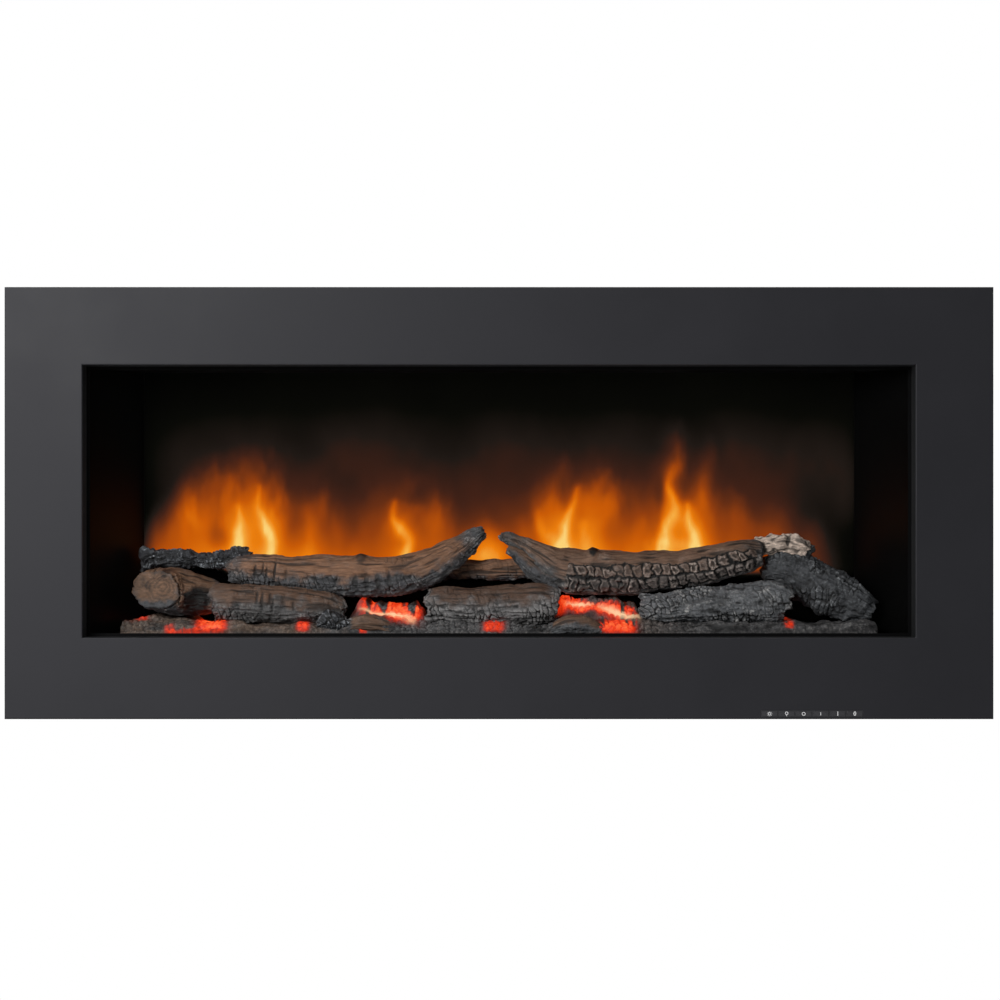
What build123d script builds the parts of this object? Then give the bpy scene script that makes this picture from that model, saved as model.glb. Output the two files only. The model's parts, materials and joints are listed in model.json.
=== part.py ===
from build123d import *
import os
from math import cos, radians, sin

# Wall-hung electric fireplace: a steel fascia round a glazed firebox with a moulded log set,
# a flame screen lit by a rotating spindle, and a fan heater in the base.
#
# Millimetres. +Z is up, +X is to the right as seen from the room, and the room is on the -Y side.
# The origin lies on the wall plane, at the centre of the four wall fixings.

# ---------------------------------------------------------------- driving dimensions
WIDTH = 1190.0
HEIGHT = 520.0
DEPTH = 175.0
BORDER = 93.6  # fascia band at the top and the sides
BORDER_BOTTOM = 98.0
FASCIA_SHEET = 1.5
FASCIA_LIP = 30.0
FOLD_R = 1.4  # outside radius of the fascia's folds
KEY_PROUD = 0.5
SHEET = 1.2  # casing and firebox steel

CASE_HALF = 545.0
CASE_TOP = 222.0
CASE_BOTTOM = -236.0
CASE_FLANGE = 20.0
TOP_FLANGE = 18.0
BASE_FLANGE = 14.0
WALL_GAP = 12.0

# ---------------------------------------------------------------- planes worked out from them
FASCIA_FRONT = -(DEPTH - KEY_PROUD)
FASCIA_INSIDE = FASCIA_FRONT + FASCIA_SHEET
WINDOW_HALF = WIDTH / 2 - BORDER
WINDOW_TOP = HEIGHT / 2 - BORDER
WINDOW_BOTTOM = BORDER_BOTTOM - HEIGHT / 2

CASE_FRONT = -146.0
BULKHEAD_FRONT = CASE_FRONT - SHEET
FLANGE_BACK = CASE_FRONT + SHEET
REAR_FACE = -WALL_GAP
REAR_INSIDE = REAR_FACE - SHEET
BASE_INSIDE = CASE_BOTTOM + SHEET
LIP = 4.0  # how far the bulkhead shows inside the fascia's window

SEAL = 1.0
SEAL_WIDTH = 7.5
GLASS_THICK = 4.0
GLASS_MARGIN = 5.6  # glass edge outside the fascia window
GLASS_FRONT = CASE_FRONT + SEAL
GLASS_BACK = GLASS_FRONT + GLASS_THICK
BOX_FRONT = GLASS_BACK + SEAL

FLOOR_TOP = -160.0
ROOF_UNDER = 165.0
BOX_HALF_FRONT = 499.0
BOX_HALF_BACK = 446.0
BOX_FLANGE = 16.0  # upturned edge of the firebox's floor and roof behind the glass
SCREEN_FRONT = -62.0
SCREEN_THICK = 4.0

SPINDLE_Y = -31.0
SPINDLE_Z = -128.0
SPINDLE_R = 2.0
SPINDLE_END = 450.0
BLADE_REACH = 13.0

FAN_Y = -72.0
FAN_Z = -205.0
FAN_R = 20.0
FAN_HALF = 115.0
FAN_SHAFT_R = 3.0
DUCT_HALF = 120.0
OUTLET_Y = (-136.0, -100.0)

KEY_COUNT = 6
KEY_PITCH = 20.5
KEY_WINDOW = (18.9, 6.8)
KEY_CAP = (18.5, 6.4)
KEY_SLOT = 8.4
KEY_TRAVEL = 0.8
KEY_COLLAR = (19.6, 8.4)  # stops the cap from passing the bezel
KEY_MARK = (17.6, 5.6, 0.1)  # shallow field for the key's printed mark
KEY_CENTRE_X = 376.7
KEY_Z = -253.5
KEY_NAMES = ("flame", "lamp", "dimmer", "heat", "on", "off")
KEY_ROW_HALF = KEY_COUNT * KEY_PITCH / 2

ROCKER_X = 462.0
ROCKER_Y = -70.0
ROCKER_TILT = 10.0
GLAND_X = 512.0
GLAND_Y = -45.0
GLAND_BORE = 4.0

WALL_FIX_X = 400.0  # half of the spacing between the wall fixings
WALL_FIX_Z = 165.0
WALL_HOLE_R = 3.0

RUN = 0.05  # running clearance of a shaft in its bush
OVERCUT = 1.0  # how far a cutter runs past the faces it cuts
BITE = 0.2  # how deep a boss is sunk into the sheet that carries it
FIT = 0.1  # gap at each edge of a part that drops into an opening
BOARD_THICK = 1.6  # circuit board laminate

NODES = {}


# ---------------------------------------------------------------- small helpers
def block(x, y, z):
    """A box from three (low, high) pairs."""
    return Pos((x[0] + x[1]) / 2, (y[0] + y[1]) / 2, (z[0] + z[1]) / 2) * Box(
        x[1] - x[0], y[1] - y[0], z[1] - z[0]
    )


def about(centre, half):
    """The (low, high) pair centred on a place."""
    return (centre - half, centre + half)


def through(low, high):
    """The (low, high) pair of a cutter that passes right through low to high."""
    return (low - OVERCUT, high + OVERCUT)


def spread(count, pitch):
    """Places at one pitch, centred on zero."""
    return [(index - (count - 1) / 2) * pitch for index in range(count)]


def rod_x(radius, x, y, z):
    """A cylinder along X between the two ends in x."""
    return Pos((x[0] + x[1]) / 2, y, z) * Rot(0, 90, 0) * Cylinder(radius, x[1] - x[0])


def rod_y(radius, x, y, z):
    """A cylinder along Y between the two ends in y."""
    return Pos(x, (y[0] + y[1]) / 2, z) * Rot(90, 0, 0) * Cylinder(radius, y[1] - y[0])


def rod_z(radius, x, y, z):
    """A cylinder along Z between the two ends in z."""
    return Pos(x, y, (z[0] + z[1]) / 2) * Cylinder(radius, z[1] - z[0])


def frame_y(half, low, high, width, y):
    """A flat rectangular ring facing Y, its outside at +-half and low to high."""
    outside = block((-half, half), y, (low, high))
    inside = block((-half + width, half - width), through(*y), (low + width, high - width))
    return outside - inside


def prism_z(points, z):
    """A polygon in plan, extruded from z[0] to z[1]."""
    face = make_face(Pos(0, 0, z[0]) * Polyline(*points, close=True))
    return extrude(face, z[1] - z[0], dir=(0, 0, 1))


def prism_x(points, x):
    """A polygon of (y, z) points, extruded from x[0] to x[1]."""
    corners = [(x[0], p[0], p[1]) for p in points]
    face = make_face(Polyline(*corners, close=True))
    return extrude(face, x[1] - x[0], dir=(1, 0, 0))


def both_sides(shape):
    """The shape and its mirror image in the plane x = 0."""
    return [shape, mirror(shape, about=Plane.YZ)]


def keep(name, *shapes):
    """Files one node: its solids go to parts/name.step."""
    solids = []
    for shape in shapes:
        solids.extend(shape.solids())
    NODES[name] = solids


# ---------------------------------------------------------------- fascia and its fixings
POST_SIDE_X = 555.0
POST_TOP_Z = 231.0
POST_BASE_Z = -243.0
POSTS = (
    [(side * POST_SIDE_X, z) for side in (-1, 1) for z in (-190.0, -5.0, 180.0)]
    + [(x, POST_TOP_Z) for x in (-350.0, 0.0, 350.0)]
    + [(x, POST_BASE_Z) for x in (-350.0, 0.0, 250.0)]
)
POST_R = 4.0
POST_THREAD = 12.0  # depth of the post's threaded hole
SCREW_R = 2.0
SCREW_HOLE_R = 2.2
SCREW_GRIP = 8.0  # how far a screw runs into its post
SCREW_HEAD = (3.8, 2.4)  # radius and height
SCREW_SLOT = (1.0, 1.0, 3.0)  # width, depth and half length
REVEAL_SETBACK = 0.5  # the window's reveal starts behind the rounded fold
REVEAL_GAP = 0.2  # and stops just off the bulkhead


def front_fascia():
    """Folded steel tray with a window, its reveal, a slot for the keys and twelve posts."""
    tray = block(
        (-WIDTH / 2, WIDTH / 2), (FASCIA_FRONT, FASCIA_FRONT + FASCIA_LIP), (-HEIGHT / 2, HEIGHT / 2)
    )
    tray = fillet(tray.faces().sort_by(Axis.Y)[0].edges(), FOLD_R)
    tray = tray - block(
        (-WIDTH / 2 + FASCIA_SHEET, WIDTH / 2 - FASCIA_SHEET),
        (FASCIA_INSIDE, 0),
        (-HEIGHT / 2 + FASCIA_SHEET, HEIGHT / 2 - FASCIA_SHEET),
    )
    reveal = block(
        (-WINDOW_HALF - FASCIA_SHEET, WINDOW_HALF + FASCIA_SHEET),
        (FASCIA_FRONT + REVEAL_SETBACK, BULKHEAD_FRONT - REVEAL_GAP),
        (WINDOW_BOTTOM - FASCIA_SHEET, WINDOW_TOP + FASCIA_SHEET),
    )
    opening = block(
        (-WINDOW_HALF, WINDOW_HALF), (FASCIA_FRONT - OVERCUT, 0), (WINDOW_BOTTOM, WINDOW_TOP)
    )
    fascia = tray + reveal - opening
    near_window = OVERCUT
    window_fold = [
        edge
        for edge in fascia.edges().group_by(Axis.Y)[0]
        if abs(edge.center().X) < WINDOW_HALF + near_window
        and abs(edge.center().Z) < WINDOW_TOP + near_window
    ]
    fascia = fillet(window_fold, FOLD_R)
    fascia -= block(
        about(KEY_CENTRE_X, KEY_ROW_HALF),
        through(FASCIA_FRONT, FASCIA_INSIDE),
        about(KEY_Z, KEY_SLOT / 2),
    )
    for x, z in POSTS:
        fascia += rod_y(POST_R, x, (FASCIA_INSIDE - BITE, BULKHEAD_FRONT), z)
    for x, z in POSTS:
        fascia -= rod_y(SCREW_R + RUN, x, (BULKHEAD_FRONT - POST_THREAD, BULKHEAD_FRONT + OVERCUT), z)
    keep("front_fascia", fascia)


def fascia_screws():
    """Slotted screws driven from behind through the casing's flanges into the posts."""
    head_r, head_height = SCREW_HEAD
    slot_width, slot_depth, slot_half = SCREW_SLOT
    top = FLANGE_BACK + head_height
    screws = []
    for x, z in POSTS:
        shank = rod_y(SCREW_R, x, (BULKHEAD_FRONT - SCREW_GRIP, FLANGE_BACK), z)
        head = rod_y(head_r, x, (FLANGE_BACK, top), z)
        slot = block(about(x, slot_width / 2), (top - slot_depth, top + OVERCUT), about(z, slot_half))
        screws.append(shank + head - slot)
    keep("fascia_screws", *screws)


def post_holes(y):
    """Clearance holes for the fascia screws, through whatever spans y."""
    return [rod_y(SCREW_HOLE_R, x, y, z) for x, z in POSTS]


# ---------------------------------------------------------------- control strip
BOARD_FRONT = FASCIA_FRONT + 10.5
SWITCH_FRONT = BOARD_FRONT - 3.5
SWITCH_HALF = 3.0
PLUNGER = (1.7, 0.8)  # radius and height of a switch's plunger
BEZEL_FLANGE_SIDE = 9.0  # the bezel's flange runs past the row of keys
BEZEL_FLANGE_Z = (-4.8, 12.0)  # about the keys' height
BEZEL_FLANGE_Y = (0.05, 1.6)  # behind the fascia's inside face
PILLAR_R = 2.5
PILLAR_SIDE = 5.0
PILLAR_RISE = 8.0
BOARD_LOW = 4.2  # the board's lower edge under the keys' height
BOARD_HIGH = 12.0
HEADER_HALF = 10.0
HEADER_Z = (2.0, 9.0)
HEADER_DEEP = 6.0
KEY_EDGE_R = 0.35
KEY_BACK = 2.0  # back of the cap, behind the fascia's inside face
COLLAR_Y = (1.7, 2.7)
STEM_R = 1.6
STEM_ROOT = 2.5
STEM_GAP = 0.1  # left between the stem and the plunger at full travel


def key_x(index):
    """Where a key stands along the row."""
    return KEY_CENTRE_X + (index - (KEY_COUNT - 1) / 2) * KEY_PITCH


def control_bezel():
    """Moulded strip that fills the fascia's slot, with a window for each key and two pillars."""
    lip = block(
        about(KEY_CENTRE_X, KEY_ROW_HALF - FIT),
        (FASCIA_FRONT - FIT, FASCIA_INSIDE + FIT),
        about(KEY_Z, KEY_SLOT / 2 - FIT),
    )
    flange = block(
        about(KEY_CENTRE_X, KEY_ROW_HALF + BEZEL_FLANGE_SIDE),
        (FASCIA_INSIDE + BEZEL_FLANGE_Y[0], FASCIA_INSIDE + BEZEL_FLANGE_Y[1]),
        (KEY_Z + BEZEL_FLANGE_Z[0], KEY_Z + BEZEL_FLANGE_Z[1]),
    )
    bezel = lip + flange
    for index in range(KEY_COUNT):
        bezel -= block(
            about(key_x(index), KEY_WINDOW[0] / 2),
            through(FASCIA_FRONT, FASCIA_INSIDE + BEZEL_FLANGE_Y[1]),
            about(KEY_Z, KEY_WINDOW[1] / 2),
        )
    for x in about(KEY_CENTRE_X, KEY_ROW_HALF + PILLAR_SIDE):
        root = FASCIA_INSIDE + BEZEL_FLANGE_Y[1] - FIT
        bezel += rod_y(PILLAR_R, x, (root, BOARD_FRONT), KEY_Z + PILLAR_RISE)
    keep("control_bezel", bezel)


def key(index):
    """A press key: its cap shows in the bezel and its stem stands just off the switch."""
    x = key_x(index)
    front = FASCIA_FRONT - KEY_PROUD
    cap = block(
        about(x, KEY_CAP[0] / 2), (front, FASCIA_INSIDE + KEY_BACK), about(KEY_Z, KEY_CAP[1] / 2)
    )
    cap = fillet(cap.faces().sort_by(Axis.Y)[0].edges(), KEY_EDGE_R)
    cap -= block(
        about(x, KEY_MARK[0] / 2),
        (front - OVERCUT, front + KEY_MARK[2]),
        about(KEY_Z, KEY_MARK[1] / 2),
    )
    collar = block(
        about(x, KEY_COLLAR[0] / 2),
        (FASCIA_INSIDE + COLLAR_Y[0], FASCIA_INSIDE + COLLAR_Y[1]),
        about(KEY_Z, KEY_COLLAR[1] / 2),
    )
    stem_end = SWITCH_FRONT - KEY_TRAVEL - STEM_GAP
    stem = rod_y(STEM_R, x, (FASCIA_INSIDE + STEM_ROOT, stem_end), KEY_Z)
    keep("key_" + KEY_NAMES[index], cap + collar + stem)


def control_board():
    """Circuit board behind the keys: a switch under each stem and one header."""
    board_back = BOARD_FRONT + BOARD_THICK
    pieces = [
        block(
            about(KEY_CENTRE_X, KEY_ROW_HALF + BEZEL_FLANGE_SIDE),
            (BOARD_FRONT, board_back),
            (KEY_Z - BOARD_LOW, KEY_Z + BOARD_HIGH),
        )
    ]
    plunger_r, plunger_high = PLUNGER
    for index in range(KEY_COUNT):
        x = key_x(index)
        body = block(
            about(x, SWITCH_HALF), (SWITCH_FRONT + plunger_high, BOARD_FRONT), about(KEY_Z, SWITCH_HALF)
        )
        plunger = rod_y(plunger_r, x, (SWITCH_FRONT, SWITCH_FRONT + plunger_high), KEY_Z)
        pieces.append(body + plunger)
    header = block(
        about(KEY_CENTRE_X, HEADER_HALF),
        (board_back, board_back + HEADER_DEEP),
        (KEY_Z + HEADER_Z[0], KEY_Z + HEADER_Z[1]),
    )
    pieces.append(header)
    keep("control_board", *pieces)


# ---------------------------------------------------------------- casing
LEAD_HOLE = (6.0, 290.0, -222.0)  # radius, x and z of the key lead's way through the bulkhead
VENT_CENTRES_X = (-150.0, 150.0)
VENT_Z = -205.0
VENT_SLOTS = 16
VENT_PITCH = 12.0
VENT_SIZE = (5.0, 36.0)  # width and height of a slot
HOOK_HALF = 410.0
HOOK_SHEET = 1.5
HOOK_TOP = 187.5
HOOK_TIP = 174.5
HOOK_STANDOFF = 3.5  # the hook's outer face off the wall
LOUVRE_ROWS_Y = (-34.0, -48.0)
LOUVRE_COUNT = 24
LOUVRE_PITCH = 18.0
LOUVRE_SIZE = (12.0, 5.0)
DUCT_MARGIN = 2.0  # the base's outlet lies inside the duct's walls
ROCKER_OPENING = (13.6, 9.6)  # half sizes
GLAND_HOLE_R = 8.1
CASE_SCREW_Y = (-125.0, -35.0)
CASE_SCREW_Z = (CASE_BOTTOM + 25.0, -10.0, CASE_TOP - 25.0)
CASE_SCREW_HEAD = (3.2, 1.8)


def front_bulkhead():
    """Flat plate behind the fascia, with the window and the holes of the posts' screws."""
    sheet = through(BULKHEAD_FRONT, CASE_FRONT)
    plate = block(
        about(0, CASE_HALF + CASE_FLANGE),
        (BULKHEAD_FRONT, CASE_FRONT),
        (CASE_BOTTOM - BASE_FLANGE, CASE_TOP + TOP_FLANGE),
    )
    plate -= block(about(0, WINDOW_HALF - LIP), sheet, (WINDOW_BOTTOM + LIP, WINDOW_TOP - LIP))
    plate -= rod_y(LEAD_HOLE[0], LEAD_HOLE[1], sheet, LEAD_HOLE[2])
    for hole in post_holes(sheet):
        plate -= hole
    keep("front_bulkhead", plate)


def rear_panel():
    """Rear sheet with two groups of vent slots and a folded hook for the wall rail."""
    panel = block((-CASE_HALF, CASE_HALF), (REAR_INSIDE, REAR_FACE), (CASE_BOTTOM, CASE_TOP))
    for centre in VENT_CENTRES_X:
        for place in spread(VENT_SLOTS, VENT_PITCH):
            panel -= block(
                about(centre + place, VENT_SIZE[0] / 2),
                through(REAR_INSIDE, REAR_FACE),
                about(VENT_Z, VENT_SIZE[1] / 2),
            )
    outer = -HOOK_STANDOFF
    inner = outer - HOOK_SHEET
    under = HOOK_TOP - HOOK_SHEET
    root = REAR_FACE - BITE
    hook = [
        (root, under),
        (root, HOOK_TOP),
        (outer, HOOK_TOP),
        (outer, HOOK_TIP),
        (inner, HOOK_TIP),
        (inner, under),
    ]
    panel += prism_x(hook, (-HOOK_HALF, HOOK_HALF))
    keep("rear_panel", panel)


def top_panel():
    """Top sheet with an upturned front flange and two rows of vents."""
    panel = block((-CASE_HALF, CASE_HALF), (CASE_FRONT, REAR_INSIDE), (CASE_TOP - SHEET, CASE_TOP))
    panel += block(
        (-CASE_HALF, CASE_HALF), (CASE_FRONT, FLANGE_BACK), (CASE_TOP - SHEET, CASE_TOP + TOP_FLANGE)
    )
    for hole in post_holes(through(CASE_FRONT, FLANGE_BACK)):
        panel -= hole
    for y in LOUVRE_ROWS_Y:
        for x in spread(LOUVRE_COUNT, LOUVRE_PITCH):
            panel -= block(
                about(x, LOUVRE_SIZE[0] / 2),
                about(y, LOUVRE_SIZE[1] / 2),
                through(CASE_TOP - SHEET, CASE_TOP),
            )
    keep("top_panel", panel)


def base_panel():
    """Base sheet with a downturned front flange, the warm-air outlet, rocker and gland openings."""
    panel = block((-CASE_HALF, CASE_HALF), (CASE_FRONT, REAR_INSIDE), (CASE_BOTTOM, BASE_INSIDE))
    panel += block(
        (-CASE_HALF, CASE_HALF), (CASE_FRONT, FLANGE_BACK), (CASE_BOTTOM - BASE_FLANGE, BASE_INSIDE)
    )
    sheet = through(CASE_BOTTOM, BASE_INSIDE)
    panel -= block(
        about(0, DUCT_HALF - DUCT_MARGIN), (OUTLET_Y[0] + DUCT_MARGIN, OUTLET_Y[1] - DUCT_MARGIN), sheet
    )
    panel -= block(about(ROCKER_X, ROCKER_OPENING[0]), about(ROCKER_Y, ROCKER_OPENING[1]), sheet)
    panel -= rod_z(GLAND_HOLE_R, GLAND_X, GLAND_Y, sheet)
    for hole in post_holes(through(CASE_FRONT, FLANGE_BACK)):
        panel -= hole
    keep("base_panel", panel)


def side_panels():
    """Side sheets with an outturned front flange."""
    height = (BASE_INSIDE, CASE_TOP - SHEET)
    panel = block((CASE_HALF - SHEET, CASE_HALF), (CASE_FRONT, REAR_INSIDE), height)
    panel += block((CASE_HALF - SHEET, CASE_HALF + CASE_FLANGE), (CASE_FRONT, FLANGE_BACK), height)
    for hole in post_holes(through(CASE_FRONT, FLANGE_BACK)):
        panel -= hole
    right, left = both_sides(panel)
    keep("right_side_panel", right)
    keep("left_side_panel", left)


def casing_screws():
    """Low screw heads on the sides of the casing."""
    head_r, head_high = CASE_SCREW_HEAD
    screws = []
    for side in (-1, 1):
        for z in CASE_SCREW_Z:
            for y in CASE_SCREW_Y:
                low, high = sorted((side * CASE_HALF, side * (CASE_HALF + head_high)))
                screws.append(rod_x(head_r, (low, high), y, z))
    keep("casing_screws", *screws)


# ---------------------------------------------------------------- glass and firebox
CHEEK_FRONT_FLANGE = 14.0
CHEEK_BACK_FLANGE = 16.0
FLOOR_OPENING = (420.0, (-124.0, -84.0))  # half length and Y span of the slot under the embers
DOWNLIGHT_HALF = 300.0
DOWNLIGHT_Y = (-130.0, -114.0)
LENS_THICK = 3.0
LENS_RIM = 3.0
DOWNLIGHT_RISE = 10.0  # the lamp board above the firebox roof's underside
LAMP_COUNT = 15
LAMP_PITCH = 40.0
LAMP_HALF = 2.5
LAMP_HIGH = 1.5
STANDOFF_R = 2.5
DOWNLIGHT_STANDOFF = 8.0  # in from the board's ends
SCREEN_SIDE = 14.0  # the screen's edges lie behind the cheeks' flanges
SCREEN_OVER = 6.0
STENCIL_Y = (-49.2, -48.4)
STENCIL_SIDE = 8.0
STENCIL_TOP = 60.0
STENCIL_UNDER = 4.0
FLAME_COUNT = 17
FLAME_PITCH = 50.0
FLAME_BASE = -120.0
FLAME_HEIGHT = 120.0
FLAME_VARIES = 55.0
FLAME_WIDTH = 30.0
FLAME_LEAN = 14.0
FLAME_BELLY = (0.1, 0.38)  # where the widest place lies, as shares of the lean and the height


def front_glass():
    """Flat pane behind the bulkhead's window."""
    keep(
        "front_glass",
        block(
            about(0, WINDOW_HALF + GLASS_MARGIN),
            (GLASS_FRONT, GLASS_BACK),
            (WINDOW_BOTTOM - GLASS_MARGIN, WINDOW_TOP + GLASS_MARGIN),
        ),
    )


def glass_seal():
    """Rope seal before and behind the pane's edge."""
    half = WINDOW_HALF + GLASS_MARGIN
    low, high = WINDOW_BOTTOM - GLASS_MARGIN, WINDOW_TOP + GLASS_MARGIN
    front = frame_y(half, low, high, SEAL_WIDTH, (CASE_FRONT, GLASS_FRONT))
    back = frame_y(half, low, high, SEAL_WIDTH, (GLASS_BACK, BOX_FRONT))
    keep("glass_seal", front, back)


def firebox_walls():
    """Splayed cheeks from the glass back to the screen, with a flange at each end."""
    front, back = BOX_FRONT + SHEET, SCREEN_FRONT - SHEET
    z = (FLOOR_TOP, ROOF_UNDER)
    cheek = prism_z(
        [
            (BOX_HALF_FRONT, front),
            (BOX_HALF_FRONT + SHEET, front),
            (BOX_HALF_BACK + SHEET, back),
            (BOX_HALF_BACK, back),
        ],
        z,
    )
    cheek += block((BOX_HALF_FRONT, BOX_HALF_FRONT + CHEEK_FRONT_FLANGE), (BOX_FRONT, front), z)
    cheek += block((BOX_HALF_BACK, BOX_HALF_BACK + CHEEK_BACK_FLANGE), (back, SCREEN_FRONT), z)
    right, left = both_sides(cheek)
    keep("right_firebox_wall", right)
    keep("left_firebox_wall", left)


def box_plan():
    """Plan outline of the floor and the roof between the cheeks."""
    front, back = BOX_FRONT + SHEET, SCREEN_FRONT - BITE
    half_front, half_back = BOX_HALF_FRONT, BOX_HALF_BACK
    return [(-half_front, front), (half_front, front), (half_back, back), (-half_back, back)]


def firebox_floor():
    """Floor under the ember bed, turned down behind the glass and open over the lamps."""
    plate = prism_z(box_plan(), (FLOOR_TOP - SHEET, FLOOR_TOP))
    plate += block(
        about(0, BOX_HALF_FRONT), (BOX_FRONT, BOX_FRONT + SHEET), (FLOOR_TOP - BOX_FLANGE, FLOOR_TOP)
    )
    half, y = FLOOR_OPENING
    plate -= block(about(0, half), y, through(FLOOR_TOP - SHEET, FLOOR_TOP))
    keep("firebox_floor", plate)


def firebox_roof():
    """Roof of the firebox, turned up behind the glass, with the downlight's slot."""
    plate = prism_z(box_plan(), (ROOF_UNDER, ROOF_UNDER + SHEET))
    plate += block(
        about(0, BOX_HALF_FRONT), (BOX_FRONT, BOX_FRONT + SHEET), (ROOF_UNDER, ROOF_UNDER + BOX_FLANGE)
    )
    plate -= block(about(0, DOWNLIGHT_HALF), DOWNLIGHT_Y, through(ROOF_UNDER, ROOF_UNDER + SHEET))
    keep("firebox_roof", plate)


def downlight():
    """Lens that drops into the roof's slot, and the lamp board above it."""
    low, high = DOWNLIGHT_Y
    half = DOWNLIGHT_HALF
    middle = (low + high) / 2
    lens_top = ROOF_UNDER + LENS_THICK
    body = block(about(0, half - BITE), (low + BITE, high - BITE), (ROOF_UNDER, lens_top))
    rim = block(about(0, half + LENS_RIM), (low - LENS_RIM, high + LENS_RIM), (ROOF_UNDER + SHEET, lens_top))
    keep("downlight_lens", body + rim)
    board_z = ROOF_UNDER + DOWNLIGHT_RISE
    pieces = [block((-half, half), (low, high), (board_z, board_z + BOARD_THICK))]
    for x in spread(LAMP_COUNT, LAMP_PITCH):
        pieces.append(block(about(x, LAMP_HALF), about(middle, LAMP_HALF), (board_z - LAMP_HIGH, board_z)))
    for x in about(0, half - DOWNLIGHT_STANDOFF):
        pieces.append(rod_z(STANDOFF_R, x, middle, (lens_top, board_z)))
    keep("downlight_board", *pieces)


def flame_screen():
    """Flat diffuser at the back of the firebox."""
    keep(
        "flame_screen",
        block(
            about(0, BOX_HALF_BACK + SCREEN_SIDE),
            (SCREEN_FRONT, SCREEN_FRONT + SCREEN_THICK),
            (FLOOR_TOP - SCREEN_OVER, ROOF_UNDER + SCREEN_OVER),
        ),
    )


def flame_hole(x, height, lean):
    """A flame-shaped opening: two arcs that meet at a root and at a leaning tip."""
    y, depth = STENCIL_Y[0] - OVERCUT, STENCIL_Y[1] - STENCIL_Y[0] + 2 * OVERCUT
    root, tip = (x, y, FLAME_BASE), (x + lean, y, FLAME_BASE + height)
    middle_x, middle_z = x + lean * FLAME_BELLY[0], FLAME_BASE + height * FLAME_BELLY[1]
    left = ThreePointArc(root, (middle_x - FLAME_WIDTH / 2, y, middle_z), tip)
    right = ThreePointArc(tip, (middle_x + FLAME_WIDTH / 2, y, middle_z), root)
    return extrude(make_face([left, right]), depth, dir=(0, 1, 0))


def flame_stencil():
    """Polished sheet whose flame-shaped holes let the spindle's glints on to the screen."""
    plate = block(about(0, BOX_HALF_BACK + STENCIL_SIDE), STENCIL_Y, (FLOOR_TOP - STENCIL_UNDER, STENCIL_TOP))
    for index, x in enumerate(spread(FLAME_COUNT, FLAME_PITCH)):
        height = FLAME_HEIGHT + FLAME_VARIES * sin(index * 1.9) * cos(index * 0.7)
        lean = FLAME_LEAN * sin(index * 2.3)
        plate -= flame_hole(x, height, lean)
    keep("flame_stencil", plate)


# ---------------------------------------------------------------- logs and embers
BED_HALF_FRONT = 466.0
BED_HALF_BACK = 440.0
BED_Y = (-136.0, -66.0)
BED_TOP = -143.5
BED_EDGE = 5.0
MOUNDS_X = ((-200.0, -98.0), (82.0, 168.0))
MOUND_SECTION = ((-130.0, BED_TOP - 1), (-72.0, BED_TOP - 1), (-78.0, -112.0), (-108.0, -112.0))
LED_HALF = 430.0
LED_COUNT = 22
LED_PITCH = 39.0
EMBER_BOARD_Y = (-118.0, -90.0)
EMBER_BOARD_Z = -171.0
EMBER_STANDOFF_X = 426.0
FLAME_BOARD_Z = (-164.0, -146.0)


def log(name, stations):
    """A tapered, bent log lofted through ovals; a station is (x, y, z, half depth, half height)."""
    sections = []
    last = len(stations) - 1
    for index, (x, y, z, half_depth, half_height) in enumerate(stations):
        before, after = stations[max(index - 1, 0)], stations[min(index + 1, last)]
        run = Vector(after[0] - before[0], after[1] - before[1], after[2] - before[2])
        plane = Plane(origin=(x, y, z), x_dir=Vector(0, 1, 0).cross(run), z_dir=run)
        sections.append(plane * Ellipse(half_height, half_depth))
    keep(name, loft(sections, ruled=False))


def logs():
    """The log set: two rest across the others, one stands at each end."""
    log(
        "left_top_log",
        [
            (-330, -104, -80, 15, 15),
            (-245, -104, -81, 18, 18.5),
            (-160, -104, -82, 18, 19),
            (-92, -104, -74, 16, 17),
            (-34, -102, -42, 8, 9),
        ],
    )
    log(
        "right_top_log",
        [
            (8, -102, -44, 7, 8),
            (52, -104, -62, 12, 13),
            (114, -104, -79, 18, 20),
            (225, -104, -79, 18, 20),
            (318, -106, -62, 14, 15),
        ],
    )
    log("left_back_log", [(-448, -86, -71, 6, 7), (-400, -84, -69, 11, 14), (-341, -84, -73, 11, 13)])
    log("centre_back_log", [(-75, -76, -86, 10, 12), (0, -76, -80, 11, 13), (62, -76, -84, 10, 12)])
    log(
        "left_end_log",
        [(-436, -118, -112, 16, 19), (-400, -112, -108, 16, 20), (-362, -102, -107, 12, 15)],
    )
    log(
        "left_low_log",
        [(-350, -114, -124, 16, 17), (-290, -112, -122.5, 19, 19), (-212, -110, -124, 17, 17)],
    )
    log(
        "centre_low_log",
        [(-86, -112, -123, 18, 18), (-10, -112, -122.5, 20, 19.5), (70, -112, -123, 18, 18)],
    )
    log(
        "right_low_log",
        [(178, -114, -124, 16, 16), (270, -114, -122.5, 19, 19), (354, -114, -123, 18, 18)],
    )
    log(
        "right_end_log",
        [(338, -84, -60, 12, 14), (382, -88, -83, 17, 20), (424, -95, -110, 16, 20), (462, -106, -130, 7, 8)],
    )


def ember_bed():
    """Moulded translucent bed with a rolled front edge and two glowing mounds behind the logs."""
    front, back = BED_Y
    plan = [
        (-BED_HALF_FRONT, front),
        (BED_HALF_FRONT, front),
        (BED_HALF_BACK, back),
        (-BED_HALF_BACK, back),
    ]
    bed = prism_z(plan, (FLOOR_TOP, BED_TOP))
    bed = chamfer(bed.faces().sort_by(Axis.Z)[-1].edges(), BED_EDGE)
    for span in MOUNDS_X:
        bed += prism_x(MOUND_SECTION, span)
    keep("ember_bed", bed)


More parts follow.
